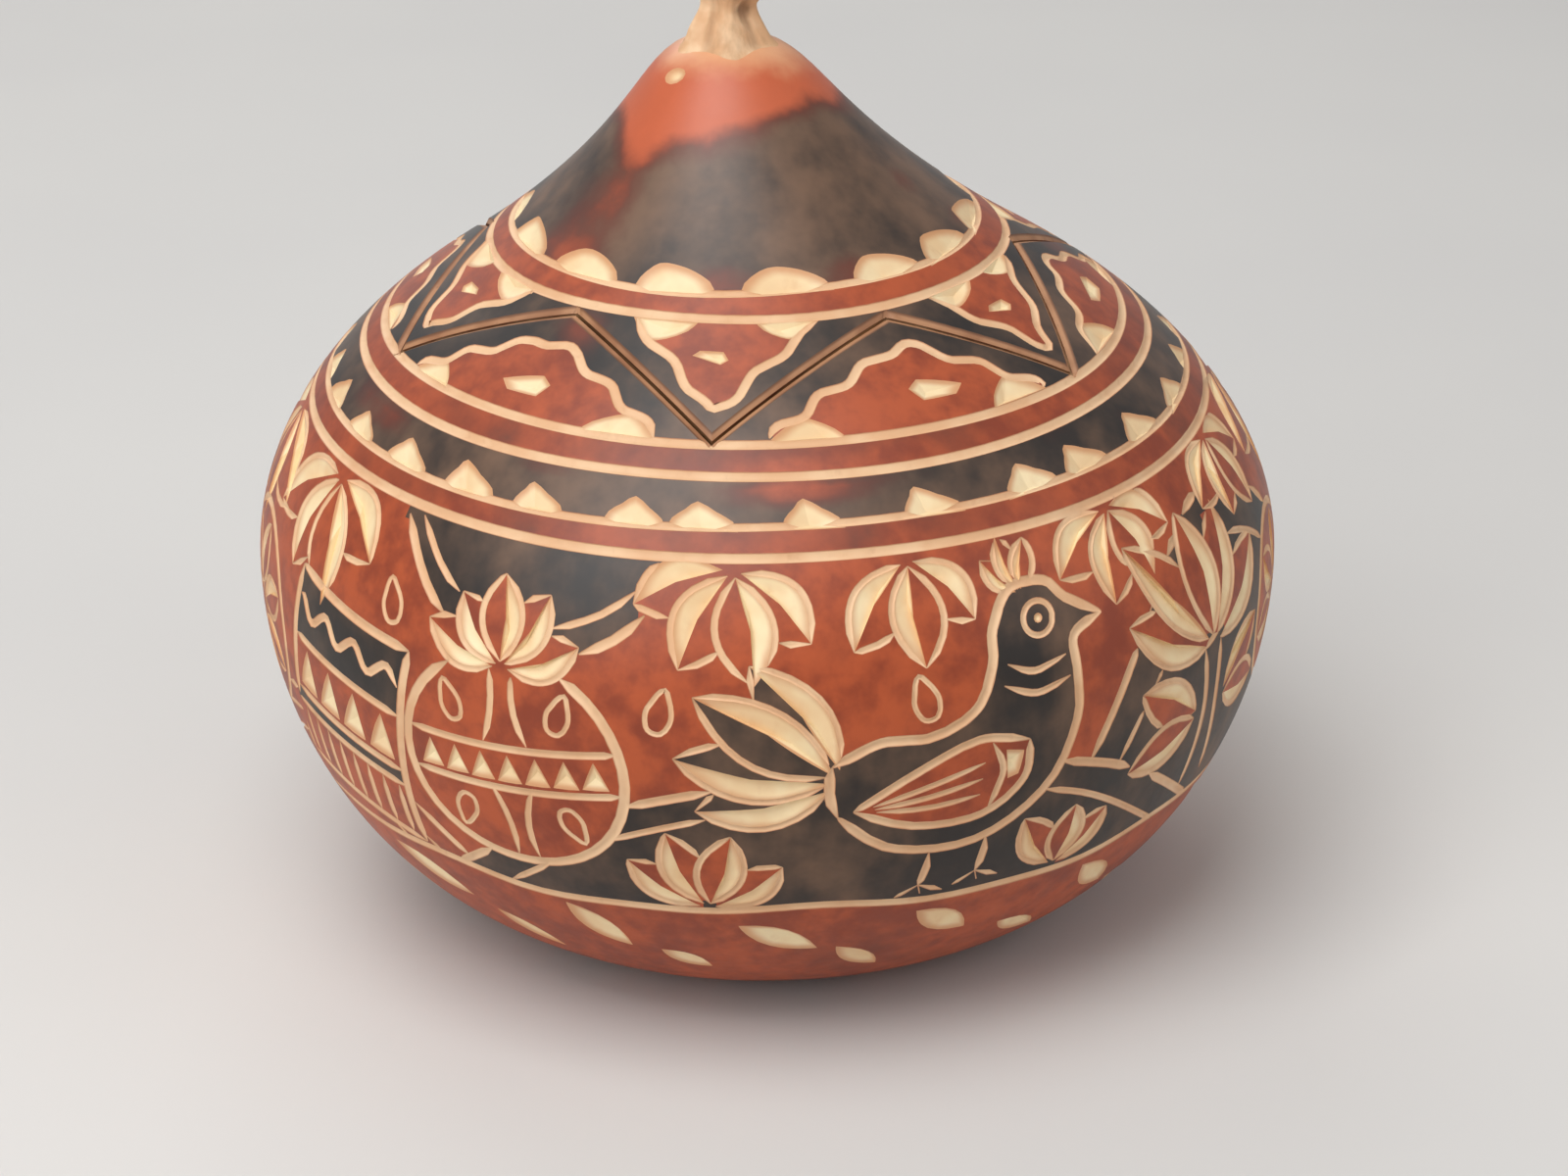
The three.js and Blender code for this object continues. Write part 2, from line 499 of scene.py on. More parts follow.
@dataclass(frozen=True)
class Patch:
    """A flat drawing laid on the wall, with x to the right and y up the wall."""

    carving: Carving
    azimuth: float
    climb: float
    turn: float = 0.0
    scale: float = 1.0
    mirrored: bool = False

    def on_wall(self, place: Point) -> Point:
        """Where a point of the drawing lies on the wall.

        Args:
            place: The point.

        Returns:
            Its azimuth and climb.
        """
        form = self.carving.form
        x, y = place[0] * self.scale, place[1] * self.scale
        if self.mirrored:
            x = -x
        c, s = math.cos(math.radians(self.turn)), math.sin(math.radians(self.turn))
        climb = min(max(self.climb + s * x + c * y, form.margin), form.length - form.margin)
        radius, _ = form.section(climb)
        return (self.azimuth + math.degrees((c * x - s * y) / radius), climb)

    def on_drawing(self, azimuths: Array, climbs: Array) -> tuple[Array, ...]:
        """Where places on the wall lie on the drawing.

        Args:
            azimuths: Azimuths of the places.
            climbs: Their climbs.

        Returns:
            Their x and y.
        """
        form = self.carving.form
        across = np.radians(half_turn(azimuths - self.azimuth)) * form.at(climbs, form.radii)[0]
        up = climbs - self.climb
        c, s = math.cos(math.radians(self.turn)), math.sin(math.radians(self.turn))
        x, y = (c * across + s * up) / self.scale, (-s * across + c * up) / self.scale
        return (-x if self.mirrored else x), y

    def drawn(self, wall_curve: Curve) -> Curve:
        """A curve on the wall as a curve of the drawing."""
        places = np.array(wall_curve)
        return list(zip(*(a.tolist() for a in self.on_drawing(places[:, 0], places[:, 1]))))

    def line(self, curve: Curve, width: float = 1.0, closed: bool = False,
             taper: float = LINE_TAPER) -> None:
        """Cuts a curve of the drawing."""
        depth = LINE_DEPTH + LINE_DEPTH_BY_WIDTH * width
        self.carving.grooves.append(Groove(list(map(self.on_wall, curve)), width, depth, closed,
                                           taper))

    def chip(self, corners: Curve, deepest: Point, depth: float) -> None:
        """Pops out a chip of the drawing."""
        self.carving.chips.append(Chip(list(map(self.on_wall, corners)), self.on_wall(deepest),
                                       depth))

    def shape(self, sides: Sequence[Curve], dark: float | None, width: float = 1.0,
              uncut: Sequence[int] = ()) -> None:
        """Dyes a closed shape, clears what lay under it and cuts its border.

        Args:
            sides: The border in order, one curve between each two corners. A single curve is
                a closed one.
            dark: How dark it is scorched, or None to leave the dye as it is.
            width: Width of the border's grooves.
            uncut: Which sides get no groove.
        """
        area = Area(self, [p for side in sides for p in side], dark or 0.0)
        self.carving.clear(area.holds)
        if dark is not None:
            self.carving.areas.append(area)
        for i, side in enumerate(sides):
            if i not in uncut:
                self.line(side, width, len(sides) == 1, BORDER_TAPER)


@dataclass
class Area:
    """A dyed area with a border, drawn on a patch."""

    patch: Patch
    border: Curve
    dark: float

    def holds(self, azimuths: Array, climbs: Array) -> Array:
        """Which places on the wall lie inside the border.

        Args:
            azimuths: Azimuths of the places.
            climbs: Their climbs.

        Returns:
            True or false for each place.
        """
        x, y = self.patch.on_drawing(azimuths, climbs)
        bx, by = zip(*self.border)
        close = (x > min(bx)) & (x < max(bx)) & (y > min(by)) & (y < max(by))
        found = np.zeros(azimuths.shape, bool)
        if close.any():
            found[close] = inside(self.border, x[close], y[close])
        return found


@dataclass
class Toolbox:
    """Turns grooves and chips into closed cutters."""

    form: GourdForm
    clearance: float = 0.35
    longest_step: float = 1.5
    shortest_step: float = 0.25
    shortest_rest: float = 0.1
    shortest_gap: float = 0.3
    shortest_cut: float = 0.4
    sharpest_turn: float = 0.15
    narrowest_end: float = 0.2
    end_power: float = 0.6
    rim_growth: float = 1.6
    roof: float = 3.0

    def stations(self, groove: Groove) -> list[tuple[Vector, Vector, float]]:
        """The places where a groove's section is set.

        Args:
            groove: The groove.

        Returns:
            Point, outward direction and distance travelled at each place.
        """
        points = [self.form.point(*p) for p in groove.path]
        travelled = [0.0]
        for a, b in zip(points, points[1:]):
            travelled.append(travelled[-1] + (b - a).length)
        kept, last = [0], len(points) - 1
        for i in range(1, last):
            here, ahead = points[i] - points[kept[-1]], points[min(i + 2, last)] - points[i]
            if here.length < self.shortest_step or ahead.length < self.shortest_rest:
                continue
            if here.length > self.longest_step or here.angle(ahead) > self.sharpest_turn:
                kept.append(i)
        if groove.closed:
            if (points[kept[-1]] - points[0]).length < self.shortest_gap:
                kept.pop()
        else:
            if len(kept) > 1 and (points[last] - points[kept[-1]]).length < self.shortest_step:
                kept.pop()
            kept.append(last)
        normals = [Vector(self.form.normals(np.array([azimuth]), np.array([climb]))[0])
                   for azimuth, climb in (groove.path[i] for i in kept)]
        return [(points[i], out, travelled[i]) for i, out in zip(kept, normals)]

    def wedge(self, groove: Groove) -> Mesh | None:
        """A closed wedge that follows a groove.

        Args:
            groove: The groove to cut.

        Returns:
            The cutter's mesh, or None for a groove too short to cut.
        """
        stations = self.stations(groove)
        count, total = len(stations), stations[-1][2]
        if count < (4 if groove.closed else 2) or total < self.shortest_cut:
            return None
        sections: list[list[Vector]] = []
        for i, (place, out, travelled) in enumerate(stations):
            before, after = (stations[near(i + k, count, groove.closed)][0] for k in (-1, 1))
            side = out.cross(after - before).normalized()
            share = 1.0
            if not groove.closed and groove.taper > 0:
                share = min(travelled, total - travelled) / groove.taper
                share = max(self.narrowest_end, min(1.0, share) ** self.end_power)
            half, deep = groove.width / 2 * share, groove.depth * share
            top = half * (1 + self.clearance / deep)
            sections.append([place + out * self.clearance + side * top, place - out * deep,
                             place + out * self.clearance - side * top])
        bm = bmesh.new()
        corners = [bm.verts.new(c) for c in sections[0]]
        first = bm.faces.new(corners)
        edges = start_edges = list(first.edges)
        if groove.closed:
            bm.faces.remove(first)
        for section in sections[1:]:
            fresh, edges = extrude(bm, edges)
            corners = [min(fresh, key=lambda v: (v.co - c.co).length_squared) for c in corners]
            for vert, place in zip(corners, section):
                vert.co = place
        if groove.closed:
            bmesh.ops.bridge_loops(bm, edges=start_edges + edges)
        else:
            bm.faces.new(corners)
        bmesh.ops.recalc_face_normals(bm, faces=bm.faces)
        return bm

    def pyramid(self, chip: Chip) -> Mesh:
        """A closed pyramid, point down, whose sides cross the wall along a chip's outline.

        Args:
            chip: The chip to cut.

        Returns:
            The cutter's mesh.
        """
        deepest = self.form.point(*chip.deepest, -chip.depth)
        grow = 1 + self.rim_growth * self.clearance / chip.depth
        bm = bmesh.new()
        rim = [bm.verts.new(deepest + (self.form.point(*place) - deepest) * grow)
               for place in chip.outline]
        top = bm.faces.new(rim)
        fresh, _ = extrude(bm, list(top.edges))
        bmesh.ops.pointmerge(bm, verts=fresh, merge_co=deepest)
        raised = bmesh.ops.poke(bm, faces=[top])["verts"][0]
        raised.co = self.form.point(*chip.deepest, self.roof * self.clearance)
        bmesh.ops.recalc_face_normals(bm, faces=bm.faces)
        return bm


@dataclass
class ZigzagSeam:
    """The saw cut between bowl and lid: a zigzag that stands square to the wall."""

    form: GourdForm
    low_azimuths: tuple[float, ...] = (-71, -6, 57, 115, 173, 231)
    high_azimuths: tuple[float, ...] = (-38, 30, 86, 144, 202, 260)
    low_drop: float = 5.5
    high_rise: float = 2.0
    play: float = 0.7
    overshoot: float = 2.2
    top: float = 229.9
    leg_points: int = 60
    leg_rounds: int = 8

    def corners(self) -> list[Point]:
        """Azimuth and climb of each corner of the cut, low and high in turn."""
        low, high = (self.form.climb(self.form.shoulder_height + rise)
                     for rise in (-self.low_drop, self.high_rise))
        return [corner for pair in zip(self.low_azimuths, self.high_azimuths)
                for corner in ((pair[0], low), (pair[1], high))]

    def apex(self) -> Vector:
        """The place on the axis where the wall's own normals meet at the shoulder."""
        slope = math.radians(self.form.shoulder_slope)
        return Vector((0, 0, self.form.shoulder_height
                       - self.form.shoulder_radius / math.tan(slope)))

    def blade(self, raised: float) -> Mesh:
        """Everything above the cut as a closed solid.

        Args:
            raised: How far it is moved up.

        Returns:
            Its mesh.
        """
        apex, corners = self.apex(), self.corners()
        bm = bmesh.new()
        circle = bmesh.ops.create_circle(bm, segments=len(corners), radius=1.0)["verts"]
        for vert, corner in zip(circle, corners):
            vert.co = apex + (self.form.point(*corner) - apex) * self.overshoot
        rim = list(bm.edges)
        for tip in (apex, Vector((0, 0, self.top))):
            fresh, _ = extrude(bm, rim)
            bmesh.ops.pointmerge(bm, verts=fresh, merge_co=tip)
        bmesh.ops.translate(bm, vec=(0, 0, raised), verts=bm.verts)
        bmesh.ops.recalc_face_normals(bm, faces=bm.faces)
        return bm

    def leg(self, index: int, aside: Point = (0.0, 0.0), beyond: float = 0.0) -> Curve:
        """The cut on the wall from one corner to the next, or a line beside it.

        Args:
            index: Number of the corner that it starts from.
            aside: How far to its left the line runs at its start and at its end.
            beyond: How far it runs past both corners, as a share of its length.

        Returns:
            Azimuths and climbs along it.
        """
        corners, apex = self.corners(), np.array(self.apex())
        a, b = (np.array(self.form.point(*corners[i % len(corners)]))
                for i in (index, index + 1))
        share = np.linspace(-beyond, 1 + beyond, self.leg_points)[:, None]
        ray = a + (b - a) * share - apex
        reach = np.ones(len(share))
        for _ in range(self.leg_rounds):
            azimuths, climbs, depths = self.form.locate(apex + ray * reach[:, None])
            reach += depths / np.linalg.norm(ray, axis=1)
        if any(aside):
            places = apex + ray * reach[:, None]
            along = np.gradient(places, axis=0)
            left = np.cross(self.form.normals(azimuths, climbs), along)
            left /= np.linalg.norm(left, axis=1)[:, None]
            azimuths, climbs, _ = self.form.locate(
                places + left * (aside[0] + (aside[1] - aside[0]) * share))
        start = corners[index % len(corners)][0]
        return list(zip((start + half_turn(azimuths - start)).tolist(), climbs.tolist()))


@dataclass
class Bands:
    """The carved rings, dog-teeth and zigzag triangles round the shoulder."""

    seam: ZigzagSeam
    carving: Carving
    tooth_ring_high: float = 76.0
    zigzag_ring_high: float = 74.1
    zigzag_ring_low: float = 65.7
    plain_ring: float = 63.5
    tooth_ring_low: float = 59.7
    frieze_ring: float = 57.4
    ring_width: float = 1.1
    tooth_ring_width: float = 0.9
    unsteadiness: float = 0.14
    high_teeth: tuple[float, ...] = (-94, -68, -42.3, -17, 10.1, 37, 59.6, 84, 110, 137, 162, 188,
                                     214, 241)
    low_teeth: tuple[float, ...] = (
        -76, -63.5, -51, -39, -28.3, -15.2, -6.7, 6.8, 22.2, 36.8, 46.5, 60, 73, 86.5, 98, 111, 124,
        135.5, 149, 162, 174, 187.5, 200, 213, 225, 238, 249, 262, 273)
    wave_height: float = 0.42
    wave_length: float = 6.8
    tooth_depth: float = 0.68
    bay_depth: float = 0.72
    nick_depth: float = 0.55
    kerf_width: float = 1.5
    kerf_depth: float = 0.5
    kerf_overlap: float = 0.02
    frieze_gap: float = 0.7
    ground_edges: tuple[float, float] = (16.9, 37.2)
    ground_darks: tuple[float, ...] = (0.34, 0.2, 0.08, 0.28, 0.9, 0.3, 1.0, 0.26, 1.0)

    def ring(self, height: float) -> None:
        """Cuts a ring round the wall, as steady as a hand is.

        Args:
            height: Its height.
        """
        bears_teeth = height in (self.tooth_ring_high, self.tooth_ring_low)
        climb, phase = self.carving.form.climb(height), self.carving.dice.uniform(0, 360)
        path = []
        for azimuth in (360 / RING_STEPS * step for step in range(RING_STEPS)):
            wander = (math.sin(math.radians(2 * azimuth + phase))
                      + 0.6 * math.sin(math.radians(5 * azimuth + 2 * phase)))
            path.append((azimuth, climb + self.unsteadiness * wander))
        width = self.tooth_ring_width if bears_teeth else self.ring_width
        self.carving.grooves.append(Groove(path, width, RING_DEPTH, True))

    def teeth(self, height: float, places: Sequence[float], wide: float, tall: float,
              full: float = 1.0) -> None:
        """Chips a row of half-moon or pointed teeth that stand on a ring.

        Args:
            height: Height of the ring.
            places: Azimuth of each.
            wide: Width of a tooth.
            tall: Height of a tooth, up the wall.
            full: How far its sides swell: 1 half-moon, 0.7 nearly a triangle.
        """
        climb, dice = self.carving.form.climb(height), self.carving.dice
        for azimuth in places:
            half = 0.5 * wide * dice.uniform(0.88, 1.1)
            top = tall * dice.uniform(0.92, 1.12)
            peak = half * dice.uniform(-0.5, 0.15)
            side = full * top
            outline = flow([(-half, -0.3), (-0.86 * half, 0.4 * side),
                            (0.5 * (peak - 0.86 * half), 0.86 * side), (peak, top),
                            (0.45 * (peak + half), 0.8 * side), (0.84 * half, 0.36 * side),
                            (half, -0.3)], step=1.1)
            patch = Patch(self.carving, azimuth, climb, dice.uniform(-3, 3))
            patch.chip(outline, (0.5 * peak, 0.35), self.tooth_depth)

    def edge(self, patch: Patch, index: int) -> tuple[Curve, float]:
        """The waved line of a bay of the zigzag, from its left foot to its right one.

        Args:
            patch: Drawing that stands on the bay's ring.
            index: Number of the seam's corner that the bay points at.

        Returns:
            The line, and 1 where the bay points up and -1 where it points down.
        """
        above = index % 2 == 0
        way, dice = -1.0 if above else 1.0, self.carving.dice
        blunt, near_tip, far = (0.45, 1.9, 4.1) if above else (1.0, 3.3, 3.7)
        left, right = (patch.drawn(self.seam.leg(start, (-way * a, -way * b)))
                       for start, a, b in ((index - 1, far, near_tip), (index, near_tip, far)))
        left = [p for p in left if way * p[1] > 0.5 and p[0] < -blunt]
        right = [p for p in right if way * p[1] > 0.5 and p[0] > blunt]
        tip = (0.3 * dice.uniform(-1, 1), 0.5 * (left[-1][1] + right[0][1]) + 0.35 * way)
        whole = left + [tip] + right
        return ripple(flow(whole[::4] + [whole[-1]]), self.wave_height, self.wave_length,
                      dice.random()), way

    def triangle(self, index: int) -> None:
        """Fills one bay of the zigzag: a waved line, red inside it, chips and a nick.

        Args:
            index: Number of the seam's corner that the bay points at.
        """
        dice, form = self.carving.dice, self.carving.form
        ring = self.zigzag_ring_high if index % 2 == 0 else self.zigzag_ring_low
        patch = Patch(self.carving, self.seam.corners()[index][0], form.climb(ring))
        edge, way = self.edge(patch, index)
        foot, end = edge[0], edge[-1]
        base = [end, (end[0], -0.3 * way), (foot[0], -0.3 * way), foot]
        patch.shape([edge, base], RED, 1.05, (1,))
        tall, long, small = (2.7, 6.9, 0.62) if way < 0 else (4.1, 7.6, 1.0)
        for corner, side, inward in ((foot, edge, 1.0), (end, edge[::-1], -1.0)):
            reach = tall * dice.uniform(0.85, 1.1)
            x, y = next((p for p in side if math.dist(p, corner) > reach), side[-1])
            run = corner[0] + inward * long * dice.uniform(0.85, 1.1)
            outline = flow([(corner[0] - 0.3 * inward, 0.3 * way),
                            (0.5 * (corner[0] + x) - 0.3 * inward, 0.6 * y), (x, y),
                            (0.62 * x + 0.38 * run, 0.88 * y), (0.2 * x + 0.8 * run, 0.5 * y),
                            (run, 0.3 * way)], step=1.2)
            patch.chip(outline, (0.6 * x + 0.4 * run, 0.9 * way), self.bay_depth)
        swing = dice.choice((-1.0, 1.0))
        x, y = swing * 0.5, 0.42 * (max(way * p[1] for p in edge) * way)
        nick = [(x + swing * small * a, y + way * small * b)
                for a, b in ((-2.9, 0.5), (-1.6, 1.4), (3.0, -0.2), (1.8, -1.2), (-2.0, -1.1))]
        patch.chip(nick, (x - swing * 1.1 * small, y), self.nick_depth)

    def cut_lid(self) -> None:
        """Lays down what the lid carries."""
        for index in range(0, 12, 2):
            self.triangle(index)
        self.ring(self.tooth_ring_high)
        self.ring(self.zigzag_ring_high)
        self.teeth(self.tooth_ring_high, self.high_teeth, 9.0, 2.95)
        flake = Patch(self.carving, -47, self.carving.form.climb(92.7), 25)
        flake.chip(oval((0, 0), 1.35, 1.0, 0.8), (0.2, 0.0), 0.3)
        self.chip_seam()

    def cut_bowl(self) -> None:
        """Lays down what the bowl carries above the frieze."""
        for index in range(1, 12, 2):
            self.triangle(index)
        for height in (self.zigzag_ring_low, self.plain_ring, self.tooth_ring_low,
                       self.frieze_ring):
            self.ring(height)
        self.teeth(self.tooth_ring_low, self.low_teeth, 6.8, 2.9, 0.78)
        self.chip_seam()

    def chip_seam(self) -> None:
        """Chips the edges of the saw cut, as on both pieces."""
        for i in range(len(self.seam.corners())):
            self.carving.grooves.append(Groove(self.seam.leg(i, beyond=self.kerf_overlap),
                                               self.kerf_width, self.kerf_depth, False, 0.0,
                                               Surface.KERF))

    def frieze_top(self) -> float:
        """Climb of the frieze's upper edge, just under its ring."""
        return self.carving.form.climb(self.frieze_ring) - self.frieze_gap

    def ground(self, climbs: Array) -> Array:
        """How dark the bands are between their rings.

        Args:
            climbs: Climbs of places on the wall.

        Returns:
            How dark each place is.
        """
        rings = (self.frieze_ring, self.tooth_ring_low, self.plain_ring, self.zigzag_ring_low,
                 self.zigzag_ring_high, self.tooth_ring_high)
        edges = [*self.ground_edges, *map(self.carving.form.climb, rings)]
        return np.array(self.ground_darks)[np.searchsorted(edges, climbs)]


class Motif(Patch):
    """A patch of the frieze and the motifs that can be drawn on it."""

    def leaf(self, foot: Point, tip: Point, wide: float, half: int = 1,
             dark: float | None = None) -> None:
        """A lens-shaped leaf, one half of it chipped out.

        Args:
            foot: Where it grows from.
            tip: Its point.
            wide: Its width.
            half: Which half is chipped: 1 left of its way, -1 right.
            dark: How dark it is, or None for the dye under it.
        """
        self.shape([bow(foot, tip, wide / 2), bow(tip, foot, wide / 2)], dark, 0.8)
        edge = bow(foot, tip, half * wide / 2, math.dist(foot, tip) / 9)
        rib = bow(foot, tip, half * 0.1 * wide, math.dist(foot, tip) / 2)
        self.chip(edge + rib[::-1][1:-1],
                  tuple(0.55 * rib[1][k] + 0.15 * edge[4][k] + 0.3 * foot[k] for k in (0, 1)),
                  0.3 + 0.08 * wide)

    def fan(self, angles: Sequence[float], long: float, wide: float,
            foot: Point = (0.0, 0.0)) -> None:
        """Leaves that spread from one place, the outer ones laid down first.

        Args:
            angles: Direction of each, in degrees from the right.
            long: Their length.
            wide: Their width.
            foot: Where they spread from.
        """
        middle, dice = sum(angles) / len(angles), self.carving.dice
        for angle in sorted(angles, key=lambda a: -abs(a - middle)):
            reach = long * dice.uniform(0.88, 1.08)
            turn = math.radians(angle + dice.uniform(-3, 3))
            self.leaf(polar(foot, 0.1 * reach, turn), polar(foot, reach, turn), wide,
                      1 if angle > middle else -1, RED)

    def rosette(self, radius: float, petals: int) -> None:
        """A flower of half-chipped petals about a small eye.

        Args:
            radius: Its radius.
            petals: How many petals it has.
        """
        self.shape([oval((0, 0), 1.04 * radius, 1.04 * radius)], RED)
        wide = 1.5 * math.pi * radius * 0.62 / petals
        for turn in (2 * math.pi * (i + 0.25) / petals for i in range(petals)):
            self.leaf(polar((0, 0), 0.22 * radius, turn), polar((0, 0), 0.95 * radius, turn), wide)
        self.shape([oval((0, 0), 0.2 * radius, 0.2 * radius)], RED, 0.8)

    def drop(self, long: float, turn: float, place: Point = (0.0, 0.0)) -> None:
        """A small outlined seed."""
        knots = [(x * long, y * long) for x, y in ((0, 0.5), (0.27, 0), (0.2, -0.4), (0, -0.5),
                                                   (-0.2, -0.4), (-0.27, 0))]
        self.line(turned(flow(knots, True, 0.3), turn, place), 0.6, True)

    def pod(self, radius: float) -> None:
        """A round ribbed fruit with a chipped belt, seeds and a leafy calyx.

        Args:
            radius: Its radius.
        """
        self.shape([oval((0, 0), radius, 0.93 * radius)], RED, 1.2)
        low, high = -0.17 * radius, 0.2 * radius
        for level in (low, high):
            self.line(bow((-0.96 * radius, level), (0.96 * radius, level), -0.04 * radius), 0.9,
                      taper=0.6)
        for side in (-1, 1):
            for level, x, y, way in ((high, 0.12, 0.9, side), (low, 0.1, -0.88, -side)):
                self.line(bow((side * 0.2 * radius, level), (side * x * radius, y * radius),
                              way * 0.8), 0.8)
        steps = 7
        wide = 0.8 * radius / steps
        for i in range(steps):
            x = (2 * (i + 0.5) / steps - 1) * 0.88 * radius
            sag = -0.035 * radius * (1 - (x / radius) ** 2)
            self.chip([(x - wide, low + 0.06 * radius + sag), (x + wide, low + 0.06 * radius + sag),
                       (x + 0.1, high - 0.06 * radius + sag)], (x, low + 0.14 * radius), 0.5)
        for x, y, turn in ((-0.5, 0.5, 20), (0.5, 0.5, -20), (-0.5, -0.5, 160), (0.5, -0.5, -160)):
            self.drop(0.34 * radius, turn, (x * radius, y * radius))
        self.fan((158, 124, 90, 56, 22), 0.78 * radius, 0.36 * radius, (0, 0.8 * radius))

    def panel(self, wide: float, tall: float, phase: float) -> None:
        """A woven cloth: dark and red stripes, a waved line, a row of chips and a fringe.

        Args:
            wide: Its width.
            tall: Its height.
            phase: Where in a wave the waved line starts, in turns.
        """
        half, top, low = wide / 2, tall / 2, -tall / 2
        red_top, red_low, hem = top - 0.32 * tall, top - 0.60 * tall, top - 0.68 * tall
        self.shape(loop([(-half, top), (-half - 0.8, low), (half + 0.6, low), (half, top)], 0.35),
                   BLACK, 1.15)
        self.shape(loop([(-half + 0.5, red_top), (-half + 0.3, red_low), (half - 0.1, red_low),
                         (half - 0.3, red_top)]), RED, uncut=(0, 2))
        self.line(ripple(bow((-half + 0.8, top - 0.16 * tall), (half - 0.8, top - 0.16 * tall)),
                         1.0, 5.4, phase), taper=0.8)
        count = max(3, round(wide / 5.2))
        reach = 0.42 * (wide - 1.6) / count
        for i in range(count):
            x = -half + 0.8 + (wide - 1.6) * (i + 0.5) / count
            self.chip([(x - reach, red_low + 0.9), (x + reach, red_low + 0.9), (x, red_top - 0.9)],
                      (x, red_low + 0.11 * tall), 0.6)
        self.shape(loop([(-half - 0.3, hem), (-half - 0.6, low + 0.6), (half + 0.4, low + 0.6),
                         (half, hem)]), RED, uncut=(0, 1, 2))
        fringe = round(wide / 2.6)
        for x in (-half + wide * (i + 0.5) / fringe for i in range(fringe)):
            self.line(bow((x, top - 0.70 * tall), (x + 0.2, low + 0.7)), 0.9, taper=1.0)

    def hill(self, half: float, rise: float, dark: float, inner: Sequence[float]) -> None:
        """A rounded hill that stands on y = 0.

        Args:
            half: Half its width.
            rise: Its height.
            dark: How dark it is.
            inner: Shares of its size at which lines run inside its brow.
        """
        brow = flow([(-half, -1.5), (-0.62 * half, 0.66 * rise), (0, rise),
                     (0.6 * half, 0.7 * rise), (half, -1.5)])
        self.shape([brow, bow(brow[-1], brow[0])], dark, 1.1, (1,))
        for share in inner:
            self.line([(share * x, share * y) for x, y in brow], 0.8)

    def swag(self) -> None:
        """A dark hanging cloth with a line inside its lower edge."""
        self.shape([flow([(-17, 1), (-10, -8), (0, -11), (10, -8), (17, 1)]),
                    bow((17, 1), (-17, 1))], BLACK, 1.1, (1,))
        self.line(flow([(-14, 0), (-8.4, -5.6), (0, -8.2), (8.4, -5.6), (14, 0)]), 0.8)

    def tree(self, tall: float) -> None:
        """A small tree: a parted trunk, two low branches and a fan of leaves.

        Args:
            tall: Its height.
        """
        trunk = [flow([(-2.0, 0), (-1.2, 0.3 * tall), (-1.7, 0.52 * tall)]),
                 bow((-1.7, 0.52 * tall), (1.6, 0.54 * tall), 0.3),
                 flow([(1.6, 0.54 * tall), (1.2, 0.3 * tall), (2.6, 0)]), bow((2.6, 0), (-2.0, 0))]
        for side in (-1, 1):
            self.fan([90 - side * a for a in (60, 102)], 0.36 * tall, 0.15 * tall,
                     (side * 2.0, 0.3 * tall))
        self.shape(trunk, BLACK, 0.9, (3,))
        self.fan((150, 120, 90, 60, 30), 0.5 * tall, 0.18 * tall, (0, 0.5 * tall))

    def bird(self) -> None:
        """A crested bird that faces right: raised tail, dark body, striped red wing."""
        rump, crown, eye = (-8.0, 0.6), (9.6, 14.6), (10.8, 12.4)
        for angle, reach in ((188, 14.0), (124, 14.0), (168, 16.0), (146, 16.0)):
            turn = math.radians(angle)
            self.leaf(polar(rump, 2, turn), polar(rump, reach, turn), 5.6,
                      1 if angle > 156 else -1, BLACK)
        for foot_x, toe_y in ((-1.6, -12.2), (3.8, -11.8)):
            self.line(bow((foot_x + 0.6, -7.0), (foot_x, toe_y), 0.3), 0.95)
            for toe in (-2.1, 0.3, 2.4):
                self.line(bow((foot_x, toe_y), (foot_x + toe, toe_y - 1.3)), 0.8, taper=1.2)
        for angle, reach in ((128, 5.0), (100, 5.8), (72, 5.2)):
            turn = math.radians(angle)
            self.leaf(polar(crown, 0.6, turn), polar(crown, reach, turn), 2.2)
        breast = flow([(17.6, 11.0), (14.2, 10.0), (14.0, 6.6), (13.6, 2.2), (10.4, -3.6),
                       (3.4, -7.6), (-4.5, -6.8), (-9.4, -2.6)])
        back = flow([(-9.8, 2.6), (-5.4, 4.4), (-0.6, 4.2), (3.6, 6.0), (5.6, 9.6), (6.2, 12.6),
                     (8.6, 15.6), (12.2, 15.4), (14.0, 13.4), (17.6, 11.0)])
        self.shape([breast, bow((-9.4, -2.6), (-9.8, 2.6), 0.5), back], BLACK, 1.15)
        self.line(oval(eye, 1.5, 1.5, 0.35), 0.7, True)
        self.chip(oval(eye, 0.45, 0.45, 0.5), eye, 0.35)
        self.line(flow([(7.0, 9.2), (9.6, 8.0), (13.0, 8.6)]), 0.8)
        self.line(flow([(6.4, 7.4), (9.6, 6.0), (13.2, 6.6)]), 0.8)
        self.shape([flow([(8.6, 1.8), (3.6, 3.0), (-2.2, 1.0), (-8.0, -2.2)]),
                    flow([(-8.0, -2.2), (-2.6, -4.6), (3.8, -4.8), (8.0, -2.0), (8.6, 1.8)])], RED)
        for share in (0.25, 0.5, 0.75):
            self.line(flow([(4.4 - 1.0 * share, 2.2 - 6.4 * share), (-1.2, 0.4 - 4.4 * share),
                            (-6.4 + 0.6 * share, -1.6 - 1.2 * share)]), 0.7, taper=2.5)
        self.line(flow([(4.9, 2.4), (5.9, -0.6), (4.4, -4.4)]), 0.8, taper=0.8)
        self.chip([(6.2, 1.4), (8.0, 0.9), (7.4, -1.4), (6.3, -1.6)], (6.7, 0.0), 0.45)


